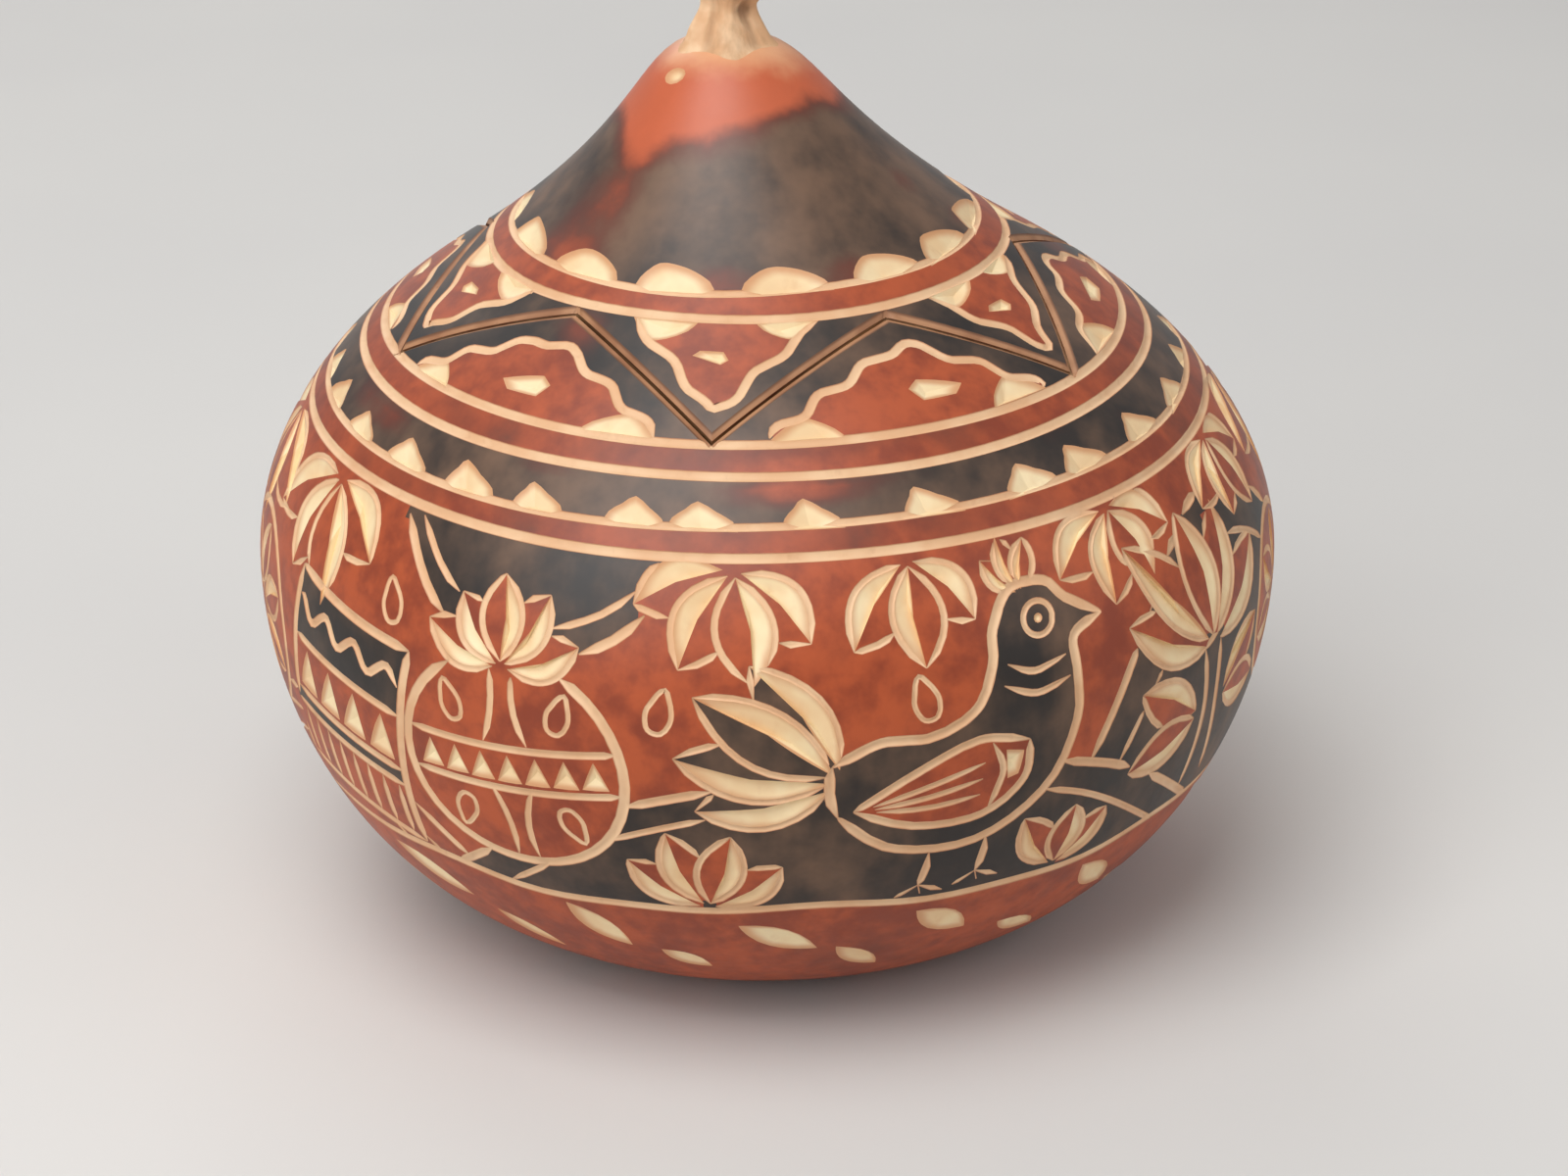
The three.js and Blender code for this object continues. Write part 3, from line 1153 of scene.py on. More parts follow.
@dataclass
class Frieze:
    """The picture band round the belly: birds, pods, trees, woven panels and leaf flowers."""

    carving: Carving
    top: float
    bottom: float = 37.2
    middle: float = 0.0

    def lay_out(self) -> None:
        """Lays the whole frieze down, kept between its borders."""
        for self.middle in (0, 180):
            self.half_round()
        self.carving.clear(lambda az, climb: (climb < self.bottom) | (climb > self.top))

    def at(self, azimuth: float, climb: float, turn: float = 0.0, scale: float = 1.0,
           mirrored: bool = False) -> Motif:
        """A place for a motif, at an azimuth from the middle of the half in hand."""
        return Motif(self.carving, self.middle + azimuth, climb, turn, scale, mirrored)

    def half_round(self) -> None:
        """Lays down the motifs on the half of the wall in hand."""
        low, top, up, down = self.bottom, self.top, (138, 106, 74, 42), (-148, -109, -71, -32)
        other = self.middle > 90
        self.at(-62, low).hill(26, 13, BLACK if other else RED, (0.78, 0.56))
        self.at(62, low).hill(31, 35, BLACK, (0.84,))
        self.at(10, low).hill(45, 18, BLACK, (0.84,))
        self.at(-86, top).fan(down, 14.5, 6.6)
        self.at(-61, top).fan(down, 14.0, 6.6)
        self.at(-78, 54.9, 10).rosette(10.5, 7)
        self.at(-81, low).fan((128, 90, 52), 11.0, 5.2)
        self.at(-53, 51.9, -8).panel(20.0, 24.0, 0.6 if other else 0.2)
        self.at(-27, top).swag()
        if other:
            self.at(-28, 53.5, 14).rosette(11.5, 8)
        else:
            self.at(-28, 53.1, 4).pod(12.6)
        self.at(-7, low).fan(up, 10.5, 4.6)
        for azimuth, climb, lean in ((-11.0, 61.4, -15), (16.5, 61.9, 12), (-44.4, 66.8, 18)):
            self.at(azimuth, climb).drop(4.6, lean)
        self.at(-9 if other else -3, top).fan((-155, -118, -81, -44), 11.4, 5.8)
        self.at(17, top).fan((-130, -90, -50), 10.5, 5.2)
        self.at(45, top).fan(down, 10.0, 5.2)
        self.at(34, low).fan((120, 86, 52), 9.5, 4.2)
        self.at(18, 53.2, 2, 1.12, other).bird()
        self.at(57, low + 3, 3).tree(33.0)
        if other:
            self.at(80, 52.9).pod(9.6)
        else:
            self.at(79, 54.4).rosette(9.0, 6)
        self.at(71, top).fan(down, 10.0, 5.0)


@dataclass
class Hem:
    """Below the frieze: its unsteady lower border and two staggered rows of slanted chips."""

    carving: Carving
    level: float = 37.2
    count: int = 32
    long: float = 9.6
    wide: float = 3.9
    border_width: float = 1.15
    chip_depth: float = 0.62
    rows: tuple[Point, Point] = ((4.9, 1.0), (11.2, 0.8))  # how far down each is, and its scale

    def border(self, azimuths: Array) -> Array:
        """Climb of the border at each azimuth."""
        turns = np.radians(azimuths)
        return self.level + 0.5 * np.sin(7 * turns + 1.0) + 0.25 * np.sin(16 * turns)

    def cut(self) -> None:
        """Lays the border and the chips down."""
        dice, self.carving.lowest = self.carving.dice, self.border
        azimuths = np.arange(RING_STEPS) * (360 / RING_STEPS)
        path = list(zip(azimuths.tolist(), self.border(azimuths).tolist()))
        self.carving.grooves.append(Groove(path, self.border_width, RING_DEPTH, True))
        for i in range(self.count):
            drop, size = self.rows[i % 2]
            azimuth = 360 * (i + dice.uniform(-0.16, 0.16)) / self.count
            climb = self.level - drop + dice.uniform(-0.9, 0.7)
            patch = Patch(self.carving, azimuth, climb, dice.uniform(-54, -24), size)
            half = self.long / 2 * dice.uniform(0.8, 1.12)
            upper = bow((-half, 0), (half, 0), self.wide / 2, half / 2.5)
            lower = bow((half, 0), (-half, 0), 0.9 * self.wide / 2, half / 2.5)
            patch.chip(upper + lower[1:-1], (0.25 * half, 0.1 * self.wide), self.chip_depth)


def srgb(*channels: int) -> Colour:
    """A colour as a shader takes it, from the 0 to 255 values that a screen shows."""
    shares = [channel / 255 for channel in channels]
    return (*(s / 12.92 if s <= 0.04045 else ((s + 0.055) / 1.055) ** 2.4 for s in shares), 1.0)


class NodeSheet:
    """A material and a short way to write its nodes."""

    def __init__(self, name: str) -> None:
        """Starts a material with a plain Principled shader.

        Args:
            name: Its name.
        """
        self.material = bpy.data.materials.new(name)
        self.material.use_nodes = True
        self.tree = self.material.node_tree
        self.shader = self.tree.nodes["Principled BSDF"]
        self.coordinates = self.tree.nodes.new("ShaderNodeTexCoord").outputs["Object"]

    def add(self, kind: str, inputs: dict, **settings) -> bpy.types.Node:
        """Adds a node.

        Args:
            kind: Its type, without the ShaderNode in front.
            inputs: Value or socket for each of its inputs, by name or number.
            **settings: Its other settings.

        Returns:
            The node.
        """
        node = self.tree.nodes.new("ShaderNode" + kind)
        for key, value in settings.items():
            setattr(node, key, value)
        self.plug(node, inputs)
        return node

    def plug(self, node: bpy.types.Node, inputs: dict) -> None:
        """Links inputs of a node to sockets, or sets their values.

        Args:
            node: The node.
            inputs: Value or socket for each of its inputs, by name or number.
        """
        for key, value in inputs.items():
            if isinstance(value, Socket):
                self.tree.links.new(value, node.inputs[key])
            else:
                node.inputs[key].default_value = value

    def maths(self, operation: str, *values) -> Socket:
        """A sum on numbers or sockets."""
        return self.add("Math", dict(enumerate(values)), operation=operation).outputs[0]

    def scaled(self, value: Socket, factor: float, plus: Socket | float | None = None) -> Socket:
        """The value times a factor, plus another value if there is one."""
        return (self.maths("MULTIPLY", value, factor) if plus is None
                else self.maths("MULTIPLY_ADD", value, factor, plus))

    def centred(self, noise: Socket) -> Socket:
        """Noise about 0 instead of 0.5."""
        return self.maths("SUBTRACT", noise, 0.5)

    def noise(self, scale: float, detail: float, stretch: Colour = (1, 1, 1),
              rough: float = 0.55, shift: float = 0.0) -> Socket:
        """Cloudy variation about 0.5.

        Args:
            scale: Patches per metre.
            detail: How many finer sizes are in it.
            stretch: Patches per metre along X, Y and Z, as shares of scale.
            rough: How strong the finer sizes are.
            shift: Moves the pattern, so that two of them differ.

        Returns:
            Its value.
        """
        place = self.add("Mapping", {"Vector": self.coordinates, "Scale": stretch,
                                     "Location": (shift, 0.7 * shift, 0.4 * shift)})
        return self.add("TexNoise", {"Vector": place.outputs[0], "Scale": scale,
                                     "Detail": detail, "Roughness": rough}).outputs["Fac"]

    def ramp(self, value: Socket, low: float, high: float, start: float = 0.0,
             end: float = 1.0) -> Socket:
        """The value brought smoothly from low..high to start..end and held there."""
        return self.add("MapRange", {"Value": value, "From Min": low, "From Max": high,
                                     "To Min": start, "To Max": end},
                        interpolation_type="SMOOTHSTEP").outputs[0]

    def mix(self, share: Socket, first: Socket | Colour, second: Socket | Colour) -> Socket:
        """Two colours mixed."""
        return self.add("Mix", {0: share, 6: first, 7: second}, data_type="RGBA").outputs[2]

    def attribute(self, name: str) -> Socket:
        """A number written on the mesh."""
        return self.add("Attribute", {}, attribute_name=name).outputs["Fac"]

    def finish(self, colour: Socket, rough: Socket | float, height: Socket | None = None,
               strength: float = 0.0, deep: float = 0.0) -> bpy.types.Material:
        """Plugs the looks into the shader.

        Args:
            colour: Colour of the surface.
            rough: Its roughness.
            height: What raises it, or None to leave it smooth.
            strength: How strongly it is raised.
            deep: How far it is raised at most, in millimetres.

        Returns:
            The finished material.
        """
        self.plug(self.shader, {"Base Color": colour, "Roughness": rough})
        if height:
            bump = self.add("Bump", {"Height": height, "Strength": strength,
                                     "Distance": deep * MM})
            self.plug(self.shader, {"Normal": bump.outputs[0]})
        return self.material


@dataclass(frozen=True)
class RindFinish:
    """Dyed and scorched rind under wax, by the written darkness of each face, with painted sheen
    and a painted highlight.
    """

    red: Colour = srgb(182, 81, 37)
    deep_red: Colour = srgb(138, 54, 23)
    crown: Colour = srgb(206, 98, 56)
    # Pale bare rind: real wear where it is rubbed at the base, painted highlight in the collar
    # round the stem's foot.
    bare_and_highlight: Colour = srgb(230, 168, 122)
    singed: Colour = srgb(104, 44, 24)
    black: Colour = srgb(33, 25, 20)
    # Wear on the black dye, greyed further as painted sheen.
    worn_black_and_sheen: Colour = srgb(116, 86, 64)

    def material(self) -> bpy.types.Material:
        """Makes the material.

        Returns:
            The rind's material.
        """
        sheet = NodeSheet("dyed_rind")
        clouds = sheet.noise(62, 3)
        blotches = sheet.noise(125, 4, rough=0.62, shift=3.0)
        freckles = sheet.noise(420, 3, shift=11.0)
        scratches = sheet.noise(330, 2, (1.0, 1.0, 0.09), shift=5.0)
        grain = sheet.noise(900, 3, shift=7.0)
        smoke = sheet.scaled(sheet.centred(clouds), 0.8, sheet.scaled(sheet.centred(blotches), 0.6))
        char = sheet.maths("ADD", sheet.attribute("dark"), smoke)
        height = sheet.add("SeparateXYZ", {0: sheet.coordinates}).outputs[2]
        share = sheet.scaled(blotches, 0.6, sheet.scaled(freckles, 0.4))
        red = sheet.mix(sheet.ramp(share, 0.36, 0.62), self.deep_red, self.red)
        red = sheet.mix(sheet.ramp(height, 0.077, 0.088, 0.0, 0.85), red, self.crown)
        # Pale collar round the stem's foot: softens the foot's edge, and is partly a painted
        # highlight.
        collar_and_highlight = sheet.scaled(sheet.centred(blotches), 0.004, height)
        red = sheet.mix(sheet.ramp(collar_and_highlight, 0.092, 0.0952), red, self.bare_and_highlight)
        # Worn patches on the black: real wear, made broader and lighter as painted sheen.
        worn = sheet.scaled(scratches, 0.16, sheet.scaled(clouds, 0.5, sheet.scaled(blotches, 0.4)))
        # Painted sheen: the black greys towards the top of the neck.
        handled_and_sheen = sheet.ramp(height, 0.073, 0.080, 0.0, 0.08)
        worn = sheet.ramp(sheet.maths("ADD", worn, handled_and_sheen), 0.42, 0.74)
        black = sheet.mix(worn, self.black, self.worn_black_and_sheen)
        singed = sheet.mix(sheet.ramp(char, 0.2, 0.56), red, self.singed)
        colour = sheet.mix(sheet.ramp(char, 0.38, 0.82), singed, black)
        rubbed = sheet.ramp(sheet.scaled(blotches, -0.002, height), -0.0011, 0.0004, 0.75, 0.0)
        rough = sheet.scaled(blotches, 0.2, sheet.scaled(grain, 0.14))
        sheet.plug(sheet.shader, {"Coat Weight": sheet.ramp(height, 0.035, 0.072, 0.25, 0.85),
                                  "Coat Roughness": 0.44, "Specular IOR Level": 0.35})
        return sheet.finish(sheet.mix(rubbed, colour, self.bare_and_highlight), sheet.maths("ADD", rough, 0.34),
                            sheet.scaled(grain, 0.35, sheet.scaled(scratches, 0.35, blotches)),
                            0.3, 0.12)


@dataclass(frozen=True)
class FleshFinish:
    """Bare flesh of the gourd where a tool went through the rind."""

    name: str
    pale: Colour
    warm: Colour
    stained: Colour
    rim: float
    roughness: float
    veins: float

    def material(self) -> bpy.types.Material:
        """Makes the material.

        Returns:
            The cut's material.
        """
        sheet = NodeSheet(self.name)
        fibres = sheet.noise(620, 3, (1, 1, 0.5), shift=2.0)
        patches = sheet.noise(150, 3, shift=9.0)
        colour = sheet.mix(sheet.ramp(patches, 0.36, 0.66), self.pale, self.warm)
        rim = sheet.ramp(sheet.scaled(patches, -0.2 * self.rim, sheet.attribute("depth")),
                         0.0, self.rim, 0.8, 0.0)
        stain = sheet.maths("MAXIMUM", rim, sheet.ramp(fibres, 0.55, 0.8, 0.0, self.veins))
        return sheet.finish(sheet.mix(stain, colour, self.stained),
                            sheet.scaled(fibres, 0.3, self.roughness - 0.15), fibres, 0.3, 0.08)


@dataclass(frozen=True)
class SawnFinish:
    """The wall where the saw went through: a hard brown skin over pale corky flesh."""

    skin: Colour = srgb(128, 78, 50)
    flesh: Colour = srgb(222, 188, 144)
    worn: Colour = srgb(188, 148, 106)

    def material(self) -> bpy.types.Material:
        """Makes the material.

        Returns:
            The sawn wall's material.
        """
        sheet = NodeSheet("sawn_wall")
        cork = sheet.noise(650, 5, shift=1.0)
        patches = sheet.noise(110, 3, shift=6.0)
        flesh = sheet.mix(sheet.ramp(patches, 0.4, 0.7), self.flesh, self.worn)
        flesh = sheet.mix(sheet.ramp(cork, 0.55, 0.8, 0.0, 0.6), flesh, self.worn)
        skin = sheet.ramp(sheet.scaled(cork, 0.5, sheet.attribute("depth")), 0.55, 1.15, 1.0, 0.0)
        return sheet.finish(sheet.mix(skin, flesh, self.skin),
                            sheet.ramp(cork, 0.2, 0.8, 0.62, 0.9), cork, 0.6, 0.25)


@dataclass(frozen=True)
class PithFinish:
    """The scraped inside, pale and felted."""

    pale: Colour = srgb(216, 190, 150)
    brown: Colour = srgb(158, 120, 82)

    def material(self) -> bpy.types.Material:
        """Makes the material.

        Returns:
            The inside's material.
        """
        sheet = NodeSheet("scraped_pith")
        scrapes = sheet.noise(140, 5, (1.0, 1.0, 0.3), 0.65)
        felt = sheet.noise(900, 4, shift=4.0)
        share = sheet.scaled(sheet.noise(38, 4, shift=8.0), 0.7, sheet.scaled(scrapes, 0.5))
        return sheet.finish(sheet.mix(sheet.ramp(share, 0.45, 0.85), self.pale, self.brown),
                            sheet.ramp(felt, 0.2, 0.8, 0.75, 0.98),
                            sheet.scaled(felt, 0.4, scrapes), 0.7, 0.5)


@dataclass(frozen=True)
class StemFinish:
    """Dry corky stem, with painted shade in its hollows."""

    tan: Colour = srgb(222, 174, 130)
    pale: Colour = srgb(240, 204, 164)
    # Brown of the fibre streaks and of the painted shade in the stem's hollows.
    brown: Colour = srgb(128, 88, 58)

    def material(self) -> bpy.types.Material:
        """Makes the material.

        Returns:
            The stem's material.
        """
        sheet = NodeSheet("dry_stem")
        fibres = sheet.noise(420, 4, (1, 1, 0.18), 0.6)
        patches = sheet.noise(260, 3, shift=2.0)
        colour = sheet.mix(sheet.ramp(patches, 0.35, 0.7), self.tan, self.pale)
        # Fibre streaks, plus painted shade between lobes and under dents from the hollow attribute.
        shade = sheet.scaled(sheet.ramp(fibres, 0.45, 0.75), 0.35,
                             sheet.ramp(sheet.attribute("hollow"), 0.25, 1.0, 0.0, 0.75))
        return sheet.finish(sheet.mix(shade, colour, self.brown),
                            sheet.ramp(fibres, 0.2, 0.8, 0.6, 0.92), fibres, 0.6, 0.3)


@dataclass(frozen=True)
class PaperFinish:
    """Pale paper under the jar."""

    paper: Colour = srgb(226, 224, 220)
    shade: Colour = srgb(222, 220, 217)

    def material(self) -> bpy.types.Material:
        """Makes the material.

        Returns:
            The paper's material.
        """
        sheet = NodeSheet("pale_paper")
        sheet.plug(sheet.shader, {"Specular IOR Level": 0.2})
        return sheet.finish(sheet.mix(sheet.ramp(sheet.noise(6, 3), 0.3, 0.7), self.paper,
                                      self.shade), 0.85)


class Finishes:
    """The materials of the jar, made once."""

    def __init__(self) -> None:
        """Makes them."""
        self.by_surface = {
            Surface.RIND: RindFinish().material(),
            Surface.GROOVE: FleshFinish("gouged_flesh", srgb(240, 200, 158), srgb(230, 182, 138),
                                        srgb(178, 112, 74), 0.1, 0.55, 0.2).material(),
            Surface.CHIP: FleshFinish("chipped_flesh", srgb(250, 228, 184), srgb(242, 208, 160),
                                      srgb(206, 140, 92), 0.26, 0.5, 0.15).material(),
            Surface.KERF: FleshFinish("sawn_edge", srgb(190, 140, 102), srgb(160, 110, 76),
                                      srgb(96, 60, 40), 0.2, 0.55, 0.5).material(),
            Surface.SAWN: SawnFinish().material(),
            Surface.PITH: PithFinish().material(),
        }
        self.stem = StemFinish().material()


@dataclass(frozen=True)
class Embers:
    """Where the red dye shows through the scorched rind: the crown and a few streaks."""

    form: GourdForm
    crown_edges: tuple[Point, ...] = (
        (-180, 88.2), (-130, 87.2), (-76, 87.6), (-43, 86.3), (-19, 86.8), (7, 88.0), (28, 89.5),
        (54, 89.9), (86, 88.2), (130, 89.0), (180, 88.2))
    crown_blur: float = 5.0
    spots: tuple[tuple[float, float, float, float, float], ...] = (
        # azimuth, height, half width in degrees, half height, how much of the scorch is missing
        (-46, 84.0, 15, 3.4, 0.42), (-44, 80.0, 17, 3.2, 0.4), (-52, 76.8, 16, 1.8, 0.44),
        (-5, 76.6, 12, 1.6, 0.5), (27, 76.8, 12, 1.8, 0.55), (69, 81.6, 9, 1.8, 0.45),
        (5, 62.4, 13, 1.4, 0.7), (-28, 62.9, 9, 1.0, 0.4), (-35, 72.6, 7, 1.6, 0.45),
        (-12, 67.4, 6, 1.4, 0.3), (-62, 62.2, 10, 1.5, 0.5), (140, 81.0, 14, 3.0, 0.5),
        (-128, 80.5, 12, 3.0, 0.5), (122, 61.8, 12, 1.8, 0.6), (205, 61.6, 10, 1.8, 0.5),
        (78, 77.2, 10, 1.2, 0.5), (180, 77.0, 12, 1.6, 0.5), (100, 70.0, 8, 2.0, 0.4))

    def glow(self, azimuths: Array, climbs: Array) -> Array:
        """How much of the scorch is missing.

        Args:
            azimuths: Azimuths of places on the wall.
            climbs: Their climbs.

        Returns:
            How much lighter than its ground each place is.
        """
        edges = np.interp(azimuths, *np.array(self.crown_edges).T)
        heights = self.form.at(climbs, self.form.heights)[0]
        glow = np.clip((heights - edges) / self.crown_blur + 0.5, 0, 1)
        for azimuth, height, wide, tall, much in self.spots:
            swing = half_turn(azimuths - azimuth)
            glow += much * np.exp(-((swing / wide) ** 2) - ((heights - height) / tall) ** 2)
        return glow


def column(items: bpy.types.bpy_prop_collection, name: str, width: int = 1) -> Array:
    """One property of every element of a mesh.

    Args:
        items: The elements.
        name: The property.
        width: How many numbers it has.

    Returns:
        Whole numbers, or rows of several floats.
    """
    values = np.empty(len(items) * width, np.int32 if width == 1 else float)
    items.foreach_get(name, values)
    return values if width == 1 else values.reshape(-1, width)


@dataclass
class CarvedShell:
    """One of the two shells that the saw cut leaves, with its carving and dye."""

    name: str
    bands: Bands
    is_lid: bool
    wall: float = 4.2
    rows: int = 112
    columns: int = 240
    hollow_rows: int = 60
    hollow_columns: int = 96
    deepest_shade: float = 5.0

    def build(self, finishes: Finishes) -> bpy.types.Object:
        """Makes the shell, cuts it and dresses it.

        Args:
            finishes: The jar's materials.

        Returns:
            The finished piece.
        """
        seam, carving, dress = self.bands.seam, self.bands.carving, finishes.by_surface
        form, tools = carving.form, Toolbox(carving.form)
        group, apart = (bpy.data.collections.new(name) for name in ("cutters", "blades"))
        for collection in (group, apart):
            bpy.context.scene.collection.children.link(collection)
        blank = model("blank", form.solid(self.rows, self.columns), dress[Surface.RIND])
        half = seam.play / 2
        blade = model("blade", seam.blade(half if self.is_lid else -half),
                      dress[Surface.SAWN], apart if self.is_lid else group)
        model("hollow", form.solid(self.hollow_rows, self.hollow_columns, self.wall),
              dress[Surface.PITH], group)
        for groove in carving.grooves:
            wedge = tools.wedge(groove)
            if wedge:
                model("cutter", wedge, dress[groove.leaves], group)
        for chip in carving.chips:
            model("cutter", tools.pyramid(chip), dress[Surface.CHIP], group)
        if self.is_lid:
            self.saw(blank, "INTERSECT").object = blade
        cut = self.saw(blank, "DIFFERENCE")
        cut.operand_type, cut.collection = "COLLECTION", group
        mesh = bpy.data.meshes.new_from_object(
            blank.evaluated_get(bpy.context.evaluated_depsgraph_get()))
        mesh.name = self.name
        piece = link(bpy.data.objects.new(self.name, mesh))
        for leftover in [blank, *group.objects, *apart.objects]:
            bpy.data.meshes.remove(leftover.data)
        for collection in (group, apart):
            bpy.data.collections.remove(collection)
        self.smooth_and_dye(mesh, dress)
        return piece

    def saw(self, blank: bpy.types.Object, operation: str) -> bpy.types.Modifier:
        """A cut that keeps the cutters' finishes on the faces they leave.

        Args:
            blank: What is cut.
            operation: How it is cut.

        Returns:
            The cut, whose cutters are still to be named.
        """
        cut = blank.modifiers.new(operation.lower(), "BOOLEAN")
        cut.operation, cut.solver, cut.material_mode = operation, "MANIFOLD", "TRANSFER"
        return cut

    def smooth_and_dye(self, mesh: bpy.types.Mesh,
                       dress: dict[Surface, bpy.types.Material]) -> None:
        """Writes darkness and depth on the mesh, and the gourd's own smoothness.

        Args:
            mesh: The cut mesh, in metres.
            dress: The material of each surface.
        """
        carving, form = self.bands.carving, self.bands.carving.form
        slots = [next(s for s, m in dress.items() if m == slot) for slot in mesh.materials]
        places = column(mesh.vertices, "co", 3) / MM
        centres = column(mesh.polygons, "center", 3) / MM
        surface = column(mesh.polygons, "material_index")
        vertex, edge = column(mesh.loops, "vertex_index"), column(mesh.loops, "edge_index")
        face_of = np.repeat(np.arange(len(surface)), column(mesh.polygons, "loop_total"))

        azimuths, climbs, depths = form.locate(places)
        mid_az, mid_climb, _ = form.locate(centres)
        dark = carving.darkness(mid_az, mid_climb, self.bands.ground(mid_climb))[face_of]
        dark -= Embers(form).glow(azimuths, climbs)[vertex]
        for name, domain, values, most in (("dark", "CORNER", dark, 1.0),
                                           ("depth", "POINT", depths, self.deepest_shade)):
            mesh.attributes.new(name, "FLOAT", domain).data.foreach_set(
                "value", np.clip(values, 0, most).astype(np.float32))

        is_rind = np.array([s is Surface.RIND for s in slots])[surface]
        is_flat = np.array([s in (Surface.CHIP, Surface.SAWN) for s in slots])[surface]
        mesh.polygons.foreach_set("use_smooth", ~is_flat)
        first, last = np.full(len(mesh.edges), -1), np.full(len(mesh.edges), -1)
        first[edge] = surface[face_of]
        last[edge[::-1]] = surface[face_of][::-1]
        mesh.edges.foreach_set("use_edge_sharp", first != last)
        normals = form.normals(azimuths, climbs)[vertex]
        on_base = (places[vertex, 2] < TOUCH) & (centres[face_of, 2] < TOUCH)
        normals[on_base] = (0, 0, -1)
        normals[~is_rind[face_of]] = 0
        mesh.normals_split_custom_set(normals.tolist())


@dataclass
class DryStem:
    """The plant's stem, left on the crown as the lid's knob: lobed, bent and broken off."""

    form: GourdForm
    sides: int = 60
    lobes: int = 5
    rings: tuple[tuple[float, float, float, float], ...] = (
        # height above the crown, radius, bend towards +X, how deep the lobes are
        (-1.5, 6.0, -0.1, 0.08), (-0.75, 5.2, -0.1, 0.1), (0.1, 4.4, -0.05, 0.12),
        (1.0, 3.7, 0.0, 0.12), (2.1, 3.15, 0.05, 0.11), (3.2, 2.85, 0.15, 0.1),
        (3.9, 2.85, 0.25, 0.09), (4.6, 3.05, 0.35, 0.09), (5.6, 3.25, 0.5, 0.08),
        (6.6, 3.1, 0.65, 0.08), (7.5, 3.0, 0.8, 0.09), (8.1, 2.85, 0.9, 0.1))
    knots: tuple[tuple[float, float, float], ...] = (
        # direction, height above the crown, how far it stands out
        (-22, 4.9, 0.95), (-48, 3.1, -0.6), (-142, 1.5, 0.55), (-62, 0.7, 0.5), (160, 3.0, -0.3),
        (95, 5.2, 0.5), (-120, 6.4, 0.35), (40, 1.6, 0.3))
    lobe_twist: float = 0.13
    lobe_start: float = 0.6
    knot_width: float = 32.0
    knot_height: float = 0.9
    root_height: float = 0.5
    root_sink: float = 0.15
    end_slant: float = 0.28
    end_steps: tuple[Point, ...] = ((0.78, -0.15), (0.55, 0.25), (0.3, 0.75), (0.12, 0.9))

    def build(self, finishes: Finishes) -> bpy.types.Object:
        """Makes the stem ring by ring, then its broken end.

        Args:
            finishes: The jar's materials.

        Returns:
            The finished piece.
        """
        bm = bmesh.new()
        # Layer for the painted shade in the stem's hollows.
        hollow = bm.verts.layers.float.new("hollow")
        bmesh.ops.create_circle(bm, segments=self.sides, radius=1.0)
        edges = list(bm.edges)
        for number in range(len(self.rings)):
            if number:
                _, edges = extrude(bm, edges)
            for vert in {v for e in edges for v in e.verts}:
                self.shape(vert, hollow, number)
        end = bmesh.ops.contextual_create(bm, geom=edges)["faces"][0]
        rise, radius, bend, _ = self.rings[-1]
        centre = self.middle(bend, rise)
        for share, sink in self.end_steps:
            bmesh.ops.inset_region(bm, faces=[end], thickness=0.02, use_boundary=True)
            for vert in end.verts:
                turn = math.atan2(vert.co.y - centre.y, vert.co.x - centre.x)
                reach = share * radius * (1 + 0.08 * math.cos(5 * turn))
                jag = 0.16 * math.sin(7 * turn + 9 * share) + 0.1 * math.sin(13 * turn)
                vert.co = centre + Vector((
                    reach * math.cos(turn), reach * math.sin(turn),
                    self.end_slant * reach * math.cos(turn) + jag - sink))
                # Painted shade, deeper into the broken end's dip.
                vert[hollow] = 0.3 + 0.5 * (1 - share)
        bmesh.ops.poke(bm, faces=[end])
        bmesh.ops.recalc_face_normals(bm, faces=bm.faces)
        for face in bm.faces:
            face.smooth = True
        piece = model("ridged_stem", bm, finishes.stem)
        finer = piece.modifiers.new("rounded", "SUBSURF")
        finer.levels = finer.render_levels = 1
        return piece

    def middle(self, bend: float, rise: float) -> Vector:
        """Centre of a ring."""
        return Vector((bend - self.form.crown_lean, 0, self.form.crown_height + rise))

    def shape(self, vert: bmesh.types.BMVert, hollow: bmesh.types.BMLayerItem,
              number: int) -> None:
        """Puts one corner of a ring in its place.

        Args:
            vert: The corner.
            hollow: Layer that takes how far in between two lobes or under a dent it lies, which
                paints shade there.
            number: Which ring it is.
        """
        rise, radius, bend, lobe = self.rings[number]
        turn = 2 * math.pi * (vert.index % self.sides) / self.sides
        lobe_turn = self.lobes * turn + self.lobe_twist * number + self.lobe_start
        wave, ridge = math.cos(lobe_turn), 1 - 2 * abs(math.sin(lobe_turn / 2)) ** 0.7
        fine = 0.018 * math.sin(23 * turn + 0.4 * number) + 0.012 * math.sin(37 * turn)
        reach = radius * (1 + lobe * (0.6 * wave + 0.4 * ridge) + fine)
        sunk_shade = 0.0
        for side, level, out in self.knots:
            swing = half_turn(math.degrees(turn) - side)
            share = math.exp(-((swing / self.knot_width) ** 2)
                             - ((rise - level) / self.knot_height) ** 2)
            reach += out * share
            sunk_shade = max(sunk_shade, -1.5 * out * share)
        place = self.middle(bend, rise)
        place += Vector((reach * math.cos(turn), reach * math.sin(turn), 0))
        if number == len(self.rings) - 1:
            place.z += self.end_slant * reach * math.cos(turn) + 0.2 * math.sin(7 * turn)
        if rise < self.root_height:
            azimuths, climbs, _ = self.form.locate(np.array([place]))
            wall = self.form.point(float(azimuths[0]), float(climbs[0]), -self.root_sink)
            share = max(0.0, (self.root_height - rise) / 2.0) ** 0.5
            place = place.lerp(wall, min(1.0, share))
        vert.co = place
        # Painted shade: darker between lobes and under dents.
        vert[hollow] = min(1.0, max(0.0, -wave) * min(1.0, 5 * lobe) + sunk_shade)


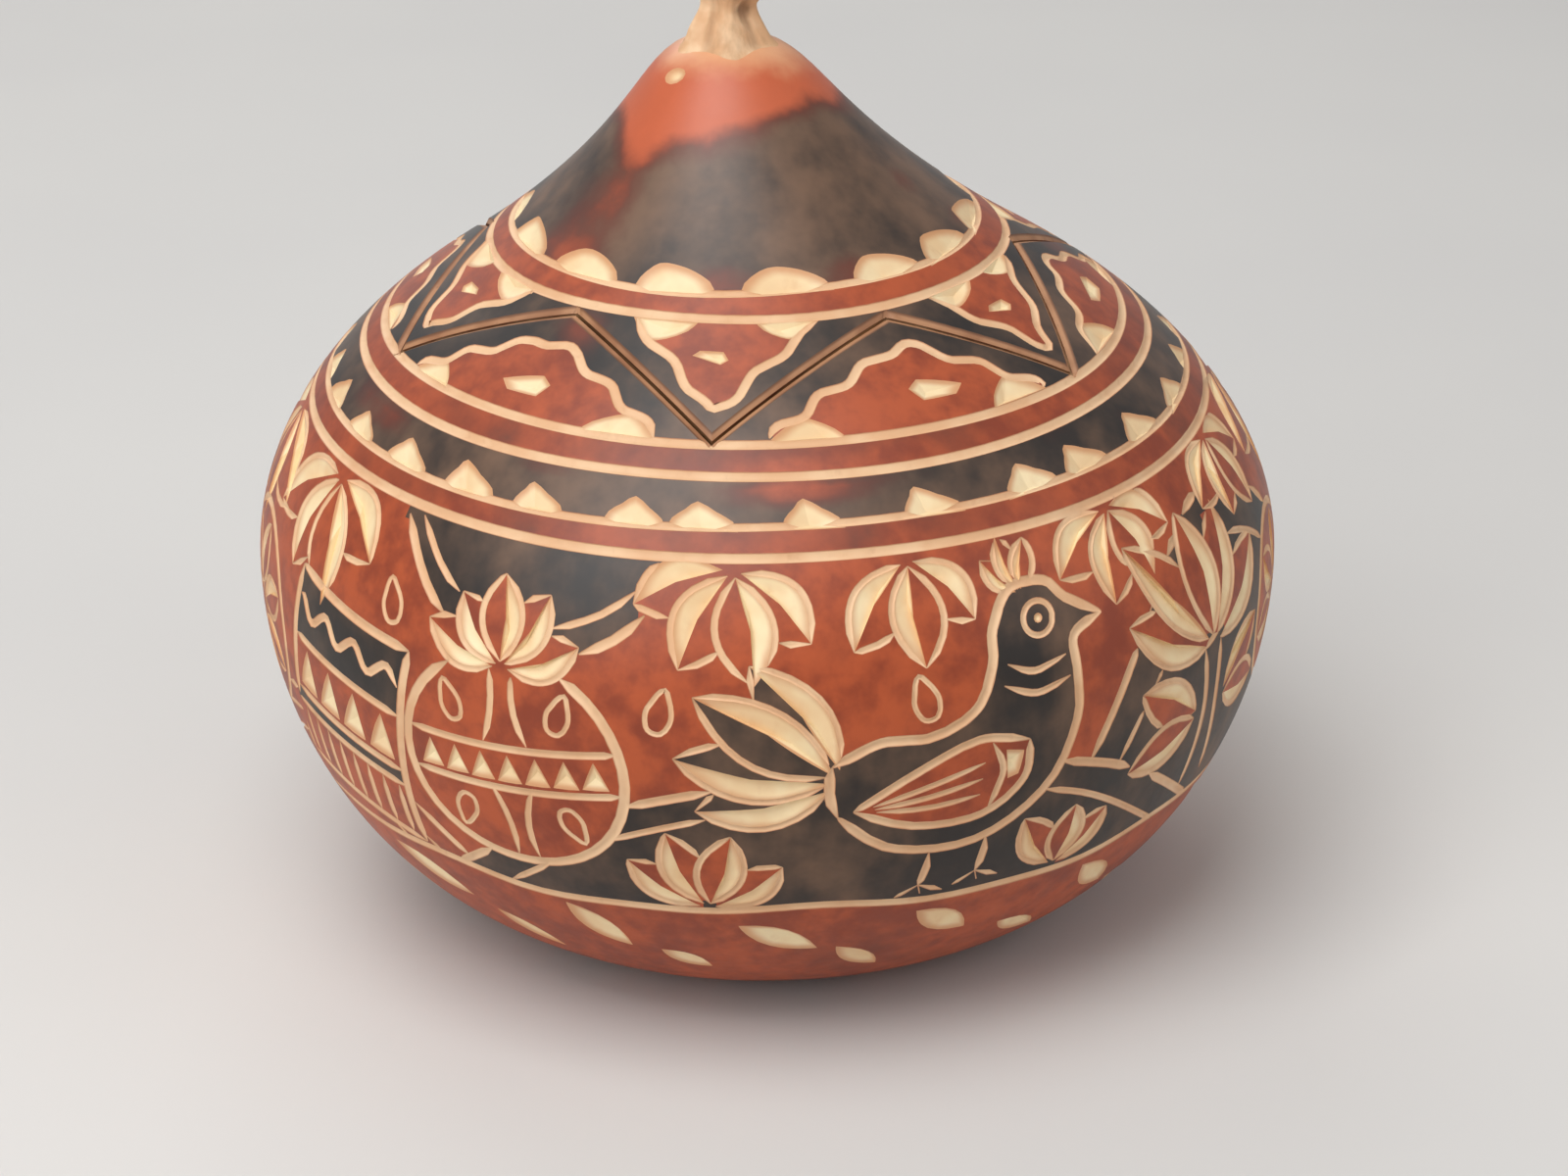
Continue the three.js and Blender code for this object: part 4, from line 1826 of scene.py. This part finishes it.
@dataclass
class Studio:
    """A pale floor, soft lights and the camera of the photograph."""

    camera_place: Colour = (1.73, -400.37, 214.96)
    camera_tilt: float = 24.501
    camera_roll: float = -0.679
    lens: float = 91.91
    sensor: float = 36.0
    floor_radius: float = 2500.0
    aim: Colour = (0, 0, 0.05)
    world: Colour = srgb(236, 236, 238)
    world_strength: float = 0.36
    lamps: tuple[tuple[str, Colour, float, float], ...] = (
        # name, place, side of its square, power in watts
        ("key", (-150, -280, 690), 500, 3.1), ("window", (-400, -470, 400), 420, 1.3),
        ("side", (620, -260, 360), 500, 0.65), ("back", (-200, 640, 520), 500, 1.3))

    def build(self) -> None:
        """Makes the floor, the camera, the lights and the world."""
        bm = bmesh.new()
        bmesh.ops.create_circle(bm, cap_ends=True, segments=96, radius=self.floor_radius)
        model("paper_floor", bm, PaperFinish().material())
        self.camera()
        for lamp in self.lamps:
            self.lamp(*lamp)
        world = bpy.data.worlds.new("studio")
        bpy.context.scene.world = world
        world.use_nodes = True
        world.node_tree.nodes["Background"].inputs["Color"].default_value = self.world
        world.node_tree.nodes["Background"].inputs["Strength"].default_value = self.world_strength
        bpy.context.scene.view_settings.view_transform = "Standard"

    def lamp(self, name: str, place: Colour, wide: float, power: float) -> None:
        """A soft square lamp aimed at the jar.

        Args:
            name: Its name.
            place: Where it stands, in millimetres.
            wide: Its side, in millimetres.
            power: Its power in watts.
        """
        data = bpy.data.lights.new(name, "AREA")
        data.size, data.energy = wide * MM, power
        lamp = link(bpy.data.objects.new(name, data))
        lamp.location = Vector(place) * MM
        lamp.rotation_euler = (Vector(self.aim) - lamp.location).to_track_quat(
            "-Z", "Y").to_euler()

    def camera(self) -> None:
        """The camera, looking down along +Y with a slight roll."""
        data = bpy.data.cameras.new("camera")
        data.lens, data.sensor_width, data.sensor_fit = self.lens, self.sensor, "HORIZONTAL"
        camera = link(bpy.data.objects.new("camera", data))
        camera.matrix_world = (
            Matrix.Translation(Vector(self.camera_place) * MM)
            @ Matrix.Rotation(math.radians(90 - self.camera_tilt), 4, "X")
            @ Matrix.Rotation(math.radians(self.camera_roll), 4, "Z"))
        bpy.context.scene.camera = camera


def add_piece(piece: bpy.types.Object, body: str, node: str) -> None:
    """Puts a piece on its body in place of a CAD node and reports it.

    Args:
        piece: The piece.
        body: The body it rides on.
        node: The CAD node it stands for.
    """
    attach(piece, body)
    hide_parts(node)
    log.info("%s: %d faces, rides %s", piece.name, len(piece.data.polygons), body)


def main() -> None:
    """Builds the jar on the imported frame."""
    logging.basicConfig(level=logging.INFO, format="%(message)s")
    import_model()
    dice = random.Random(SEED)
    form = GourdForm()
    seam = ZigzagSeam(form)
    finishes = Finishes()
    Studio().build()

    bowl_bands, lid_bands = (Bands(seam, Carving(form, dice)) for _ in ("bowl", "lid"))
    Frieze(bowl_bands.carving, bowl_bands.frieze_top()).lay_out()
    Hem(bowl_bands.carving).cut()
    bowl_bands.cut_bowl()
    lid_bands.cut_lid()
    bowl = CarvedShell("carved_bowl", bowl_bands, False)
    lid = CarvedShell("carved_lid", lid_bands, True)
    add_piece(bowl.build(finishes), "bowl", "gourd_bowl")
    add_piece(lid.build(finishes), "lid", "gourd_lid")
    add_piece(DryStem(form).build(finishes), "lid", "stem_stub")


if __name__ == "__main__":
    main()
